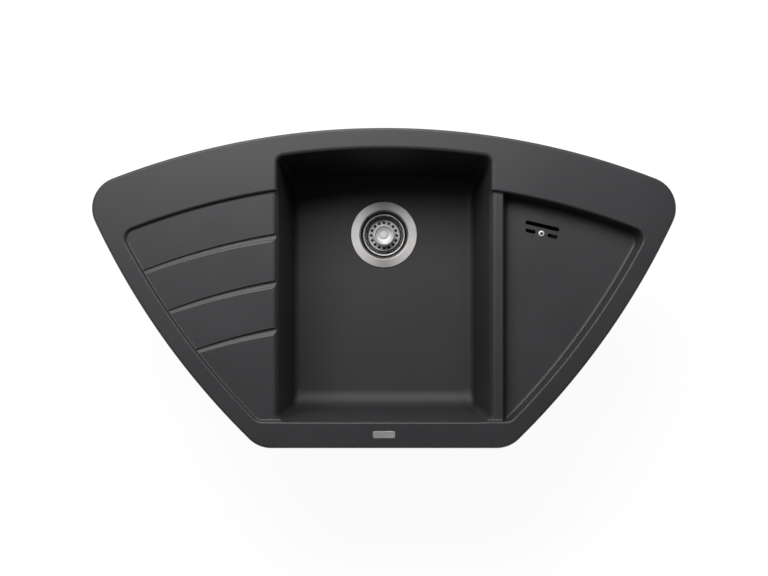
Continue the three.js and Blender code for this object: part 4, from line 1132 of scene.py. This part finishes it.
# A thread of the given crest radius: one ridge wound round the axis.
def threadRidge(crest, depth, pitch, low, turns, steps=48):
    bm = bmesh.new()
    root = crest - depth - 0.3
    section = [(root, 0.0), (crest, pitch * 0.2), (crest, pitch * 0.38), (root, pitch * 0.58)]
    verts = [bm.verts.new((r, 0, low + z)) for r, z in section]
    for a, b in zip(verts, verts[1:]):
        bm.edges.new((a, b))
    spun(bm, turns, int(turns * steps), pitch / steps, False)
    bmesh.ops.holes_fill(bm, edges=[e for e in bm.edges if e.is_boundary], sides=0)
    return pointOut(bm)


def wasteBody():
    root, radius, inner = pot.neck - pot.thread, pot.radius, pot.radius - pot.wall
    body = turned([
        (pot.bore, neckLow), (root - 0.6, neckLow), (root, neckLow + 0.6), (root, neckTop),
        (radius, potLow + 2), (radius, flangeLow), (pot.flange, flangeLow),
        (pot.flange, wasteTop), (inner, wasteTop), (inner, potLow + 3), (pot.bore, neckTop + 1),
    ], 96, 0.6, 3)

    def inletPart(*sizes):
        return moved(moved(rod(*sizes), turn=pi / 2, axis="Y"), 0, 0, inletZ, inletWay)

    def grip():
        return block(*pot.grip, (radius + pot.gripOut, 0, flangeLow - pot.gripDrop), 0.4)

    start = radius - pot.wall / 2
    stub = inletPart(spigot.radius, start, inletEnd, 48, 0.5)
    collar = inletPart(hose.rib, start, inletEnd - spigot.length, 48, 0.5)
    bore = inletPart(spigotBore, radius - 2 * pot.wall, inletEnd + 1)
    hub = rod(cup.hub, potArms, potArms + cup.spider, 40, 0.4)
    hole = rod(bolt.radius + gap, potArms - 1, potArms + cup.spider + 1, 32)
    solid = carved(body, joins(collar, stub, hub, *spiderArms(potArms, start)) + cuts(bore, hole))
    ridge = threadRidge(pot.neck, pot.thread, pot.pitch, neckLow + 1.2, pot.turns)
    return merged(solid, ridge, *around(pot.grips, grip, 0.5))


wasteSeal = tube(
    strainer.hole / 2 + gap, pot.flange - 1, wasteTop + gap, wasteTop + gap + pot.seal,
    96, 0.6)
finishPiece(wasteBody(), "waste_body", "grey", atDrain, sharp=35)
finishPiece(wasteSeal, "waste_seal", "rubber", atDrain)

boltTop = spiderTop + bolt.headHeight
boltNutTop = potArms - gap
boltNutLow = boltNutTop - bolt.nutHeight


# Cuts the screwdriver's slot across the top of a head.
def slotted(bm, head, top, turn=0.0):
    slot = block(2 * head + 1, driver.slot, 2 * driver.depth, (0, 0, top))
    return carved(bm, cuts(moved(slot, turn=turn)))


def strainerBolt():
    low, seat, radius, head = boltNutLow - bolt.end, spiderTop + gap, bolt.radius, bolt.head
    body = turned([
        (0, low), (radius, low), (radius, seat), (head, seat), (head, boltTop - 0.8),
        (head - 1.4, boltTop), (0, boltTop)], 64, 0.3)
    return slotted(body, head, boltTop)


finishPiece(strainerBolt(), "strainer_bolt", "polished", atDrain)
finishPiece(
    hexNut(bolt.radius + gap, bolt.nut, boltNutLow, boltNutTop), "strainer_bolt_nut", "brass",
    atDrain, sharp=25)
print("waste body made")

# overflow: screw, housing and seal
screw = Settings(
    head=10.5, headHeight=2.0, radius=2.5, length=30.0, socket=4.0,
    socketDepth=1.4)
housing = Settings(
    length=74.0, width=40.0, height=26.0, corner=9.0, wall=2.5, across=6.5,
    boss=6.0)
overflowSeal = Settings(thickness=2.0, width=5.0)
housingTop = halfUnderside - overflowSeal.thickness - 2 * gap
housingLow = housingTop - housing.height


def housingRing(grow, z):
    across = Vector((0, housing.across))
    return level([p + across for p in grownRectangle(housing, grow)], z)


def overflowHousing():
    low, high, thick = housingLow, housingTop, housing.wall
    body = loft([
        housingRing(-1.6, low), housingRing(-0.5, low + 0.5), housingRing(0, low + 1.6),
        housingRing(0, high)])
    hollow = loft([
        housingRing(-thick - 1, low + thick), housingRing(-thick, low + thick + 1),
        housingRing(-thick, high + 1)])
    at, spigotLow = (spigot.x, spigot.y), low - spigot.length
    boss = rod(housing.boss, low + thick / 2, high, 48, 0.4)
    hole = rod(screw.radius + gap, low + thick, high + 1, 32)
    outer = rodAt(at, spigot.radius, spigotLow, low + thick / 2, 48, 0.5)
    bore = rodAt(at, spigotBore, spigotLow - 1, high, 48)
    return carved(body, cuts(hollow) + joins(boss, outer) + cuts(bore, hole))


def sealUnderBowl():
    low, inner = housingTop + gap, -overflowSeal.width
    high = low + overflowSeal.thickness
    return loft([housingRing(grow, z) for grow, z in (
        (0, low), (0, high), (inner, high), (inner, low))], closed=True)


def overflowScrew():
    low, seat = halfZ - screw.length, halfZ + gap
    top, r, head = seat + screw.headHeight, screw.radius, screw.head / 2
    body = turned([
        (0, low), (r - 0.5, low), (r, low + 1), (r, seat), (head, seat), (head, top - 0.9),
        (head - 1.2, top), (0, top)], 80, 0.25, 3)
    socket = slab(polygon(screw.socket / sqrt(3), 6), top - screw.socketDepth, top + 1)
    return carved(body, cuts(socket))


finishPiece(overflowHousing(), "overflow_housing", "black", atOverflow)
finishPiece(sealUnderBowl(), "overflow_seal", "rubber", atOverflow)
finishPiece(overflowScrew(), "overflow_screw", "screw", atOverflow, sharp=50)
print("overflow made")

# hose: down from the housing's spigot, one bend, level to the pot's inlet
hoseTop = housingLow - gap
inletFace = inletEnd - spigot.length + gap
hoseReach = hypot(spigotAt.x - drain.x, spigotAt.y - drain.y)
hoseDrop = hoseTop - inletZ - hose.bend
hoseArc = hose.bend * pi / 2
hoseLength = hoseDrop + hoseArc + hoseReach - hose.bend - inletFace
alongHose = placing(*drain, turn=inletWay)


def hosePoint(s):
    if s <= hoseDrop:
        return hoseReach, hoseTop - s, 0.0
    if s <= hoseDrop + hoseArc:
        angle = (s - hoseDrop) / hose.bend
        return (
            hoseReach - hose.bend * (1 - cos(angle)), inletZ + hose.bend * (1 - sin(angle)),
            angle)
    return hoseReach - hose.bend - (s - hoseDrop - hoseArc), inletZ, pi / 2


def hoseRing(s, radius):
    r, z, turn = hosePoint(s)
    return [
        Vector((r + p.x * cos(turn), p.y, z - p.x * sin(turn)))
        for p in polygon(radius, hose.sides)]


def overflowHose():
    cuff, rib, end = hose.cuff, hose.rib, hoseLength
    count = floor((end - 2 * cuff) / hose.pitch)
    pitch = (end - 2 * cuff) / count
    rings = [hoseRing(0, rib - 0.5), hoseRing(0.5, rib), hoseRing(cuff, rib)]
    for i in range(count):
        for share in (0.12, 0.25, 0.38, 0.62, 0.75, 0.88):
            wave = 0.5 + 0.5 * cos(2 * pi * share)
            radius = hose.root + (rib - hose.root) * (0.12 + 0.88 * wave)
            rings.append(hoseRing(cuff + pitch * (i + share), radius))
    rings += [hoseRing(end - cuff, rib), hoseRing(end - 0.5, rib), hoseRing(end, rib - 0.5)]
    rings += [hoseRing(end * (1 - share), spigot.radius + gap) for share in shares(24)]
    return loft(rings, closed=True)


finishPiece(overflowHose(), "overflow_hose", "grey", alongHose, sharp=60, weigh=False)

clip = Settings(
    band=1.2, width=9.0, housing=14.0, across=11.0, height=8.0, worm=3.0,
    head=4.0, length=20.0, slots=10, firstSlot=150, slotTurn=9)
bandInner = hose.rib + 1.5 * gap
bandOuter = bandInner + clip.band
wormX = bandOuter + clip.height / 2 - gap


def hoseClip():
    width, body = clip.width, clip.housing
    band = tube(bandInner, bandOuter, -width / 2, width / 2, 96, 0.3)
    slots = []
    for i in range(clip.slots):
        slot = block(6, 0.9, width * 0.55, (bandOuter + 2.7, 0, 0))
        slots.append(moved(slot, turn=radians(clip.firstSlot + clip.slotTurn * i)))
    shape = block(clip.height, body, clip.across, (wormX, 0, 0), 1.6)
    core = rod(bandInner, -width, width, 96)
    bore = moved(rod(clip.worm + gap, -body, body, 40), turn=pi / 2, axis="X")
    return carved(band, cuts(*slots) + joins(shape) + cuts(core, moved(bore, wormX)))


def clipWorm():
    half, worm, head = clip.housing / 2, clip.worm, clip.head
    low, neck, top = -half - 1, half + gap, clip.length - half
    body = turned(
        [(0, low), (worm, low), (worm, neck), (head, neck), (head, top), (0, top)], 48, 0.3)
    return slotted(body, head, top, 0.6)


clipSetback = clip.width / 2 + 6
clipFrames = {
    "upper": placing(hoseReach, 0, hoseTop - clipSetback),
    "lower": placing(inletFace + clipSetback, 0, inletZ, pi / 2, "Y"),
}
inClip = placing(wormX, turn=-pi / 2, axis="X")
for name, local in clipFrames.items():
    place = alongHose @ local
    finishPiece(hoseClip(), "hose_clip_" + name, "polished", place)
    finishPiece(clipWorm(), "hose_clip_screw_" + name, "zinc", place @ inClip)
print("hose and clips made")

# worktop clamps, each about its stud
clamp = Settings(
    stud=3.0, studLow=-74.0, sheet=2.0, breadth=18.0, rise=12.0, tip=11.0,
    tooth=0.8, toothWidth=1.2, toothFoot=1.8, hole=3.6, rest=-58.0, nut=8.5,
    nutHeight=8.0, grips=12, grip=1.2, pitch=1.0,
)


def clampStud():
    low = clamp.studLow
    core = rod(clamp.stud - 0.35, low, anchorTop, 32, 0.4)
    return merged(core, threadRidge(clamp.stud, 0.3, clamp.pitch, low + 0.8, 48, 20))


def clampClip(inset):
    reach, breadth, t = inset - clampSet.margin, clamp.breadth, clamp.sheet
    riser, foot = reach - clamp.tip, clamp.rise
    top = foot + t
    side = [
        (0, 0), (riser + t, 0), (riser + t, foot), (reach, foot), (reach, top + clamp.tooth),
        (reach - clamp.toothWidth, top + clamp.tooth), (reach - clamp.toothFoot, top),
        (riser, top), (riser, t), (0, t)]
    bm = bmesh.new()
    ring = startRing(bm, [Vector((x, -breadth / 2, z)) for x, z in side])
    face = bmesh.ops.contextual_create(bm, geom=ringEdges(bm, ring))["faces"]
    made = bmesh.ops.extrude_face_region(bm, geom=face)["geom"]
    fresh = [v for v in made if isinstance(v, bmesh.types.BMVert)]
    bmesh.ops.translate(bm, verts=fresh, vec=(0, breadth, 0))
    bm = carved(pointOut(bm), joins(rod(breadth / 2, 0, t, 48)))
    bmesh.ops.dissolve_limit(bm, angle_limit=radians(1), verts=bm.verts[:], edges=bm.edges[:])
    sharp = [e for e in bm.edges if e.is_manifold and e.calc_face_angle(0) > radians(25)]
    bmesh.ops.bevel(
        bm, geom=sharp, offset=0.35, affect="EDGES", segments=2, profile=0.5, material=-1)
    return carved(bm, cuts(rod(clamp.hole, -1, t + 1, 40)))


def clampNut():
    points, grips = [], clamp.grips
    for i in range(grips * 6):
        angle = 2 * pi * i / (grips * 6)
        radius = clamp.nut - clamp.grip * (0.5 - 0.5 * cos(grips * angle))
        points.append(Vector((radius * cos(angle), radius * sin(angle))))
    inner = [p * 0.93 for p in points]
    low, high = -gap - clamp.nutHeight, -gap
    body = loft([
        level(inner, low), level(points, low + 0.7), level(points, high - 0.7), level(inner, high)])
    return carved(body, cuts(rod(clamp.stud + gap, low - 1, high + 1, 40)))


for name, (at, outwards, inset) in clampPlaces.items():
    place = placing(*at, turn=outwards - pi / 2)
    resting = place @ placing(z=clamp.rest)
    anchor = tube(
        clamp.stud + gap, clampSet.anchor, clampSet.bossLow, anchorTop, 40, 0.3)
    finishPiece(anchor, "clamp_anchor_" + name, "brass", place)
    finishPiece(clampStud(), "clamp_stud_" + name, "zinc", place, weigh=False)
    finishPiece(clampClip(inset), "clamp_clip_" + name, "zinc", resting, "clip_" + name)
    finishPiece(clampNut(), "clamp_nut_" + name, "black", resting, "nut_" + name)
print("clamps made")

# floor, light and background
room = Settings(
    floorZ=-0.2966, size=9.0, white=0.8, paper=1.17, fill=0.03, mirrored=0.06)
lamps = [
    # name, place, target, width, depth, watts
    ("windowLight", (-0.21, 1.16, 1.16), (0.0, 0.3, 0.0), 1.5, 0.66, 27.0),
    # lower than the rim, so that they light the outside and leave the top as it is
    ("lowFront", (0.2, -1.5, -0.13), (0.0, 0.2, -0.12), 1.4, 0.2, 9.0),
    ("lowBack", (-0.2, 2.0, -0.13), (0.0, 0.2, -0.12), 1.4, 0.2, 9.0),
    ("lowLeft", (-1.8, 0.1, -0.13), (0.0, 0.2, -0.12), 1.2, 0.2, 7.0),
    ("lowRight", (1.8, 0.3, -0.13), (0.0, 0.2, -0.12), 1.2, 0.2, 7.0),
]


def addFloor():
    p = Paint("floor")
    tone = p.between(p.noise(p.place(), 3.0, 2.0), 0.3, 0.7)
    matt = p.node("BsdfDiffuse", {}, {
        "Color": p.blend(tone, (0.80, 0.80, 0.80, 1), (0.84, 0.84, 0.84, 1))})
    paper = p.node("Emission", {}, {"Color": (1, 1, 1, 1), "Strength": room.paper})
    rays = p.node("LightPath", out="Is Camera Ray")
    mixed = p.node("MixShader", {}, {0: rays * room.white, 1: matt, 2: paper})
    p.node("OutputMaterial", {}, {"Surface": mixed})
    bm = bmesh.new()
    bmesh.ops.create_grid(bm, x_segments=1, y_segments=1, size=room.size / 2)
    bmesh.ops.translate(bm, verts=bm.verts[:], vec=(0, 0, room.floorZ))
    ground = asObject(bm, "floor")
    ground.data.materials.append(p.owner)


def addLamps():
    for name, at, target, width, depth, watts in lamps:
        lamp = bpy.data.lights.new(name, "AREA")
        lamp.shape = "RECTANGLE"
        lamp.size, lamp.size_y, lamp.energy = width, depth, watts
        holder = addObject(name, lamp, at)
        holder.visible_camera = False
        holder.rotation_euler = (Vector(target) - Vector(at)).to_track_quat("-Z", "Y").to_euler()


def addWorld():
    p = Paint("room", bpy.data.worlds.new("room"))
    seen = p.node("LightPath", out="Is Camera Ray")
    glossy = p.node("LightPath", out="Is Glossy Ray")
    strength = seen + (1 - seen) * p.between(glossy, 0.0, 1.0, room.fill, room.mirrored)
    soft = p.node("Background", {}, {"Color": (1, 1, 1, 1), "Strength": strength})
    p.node("OutputWorld", {}, {"Surface": soft})
    bpy.context.scene.world = p.owner


addFloor()
addLamps()
addWorld()
bpy.context.scene.view_settings.view_transform = "Standard"
print("floor and light set")
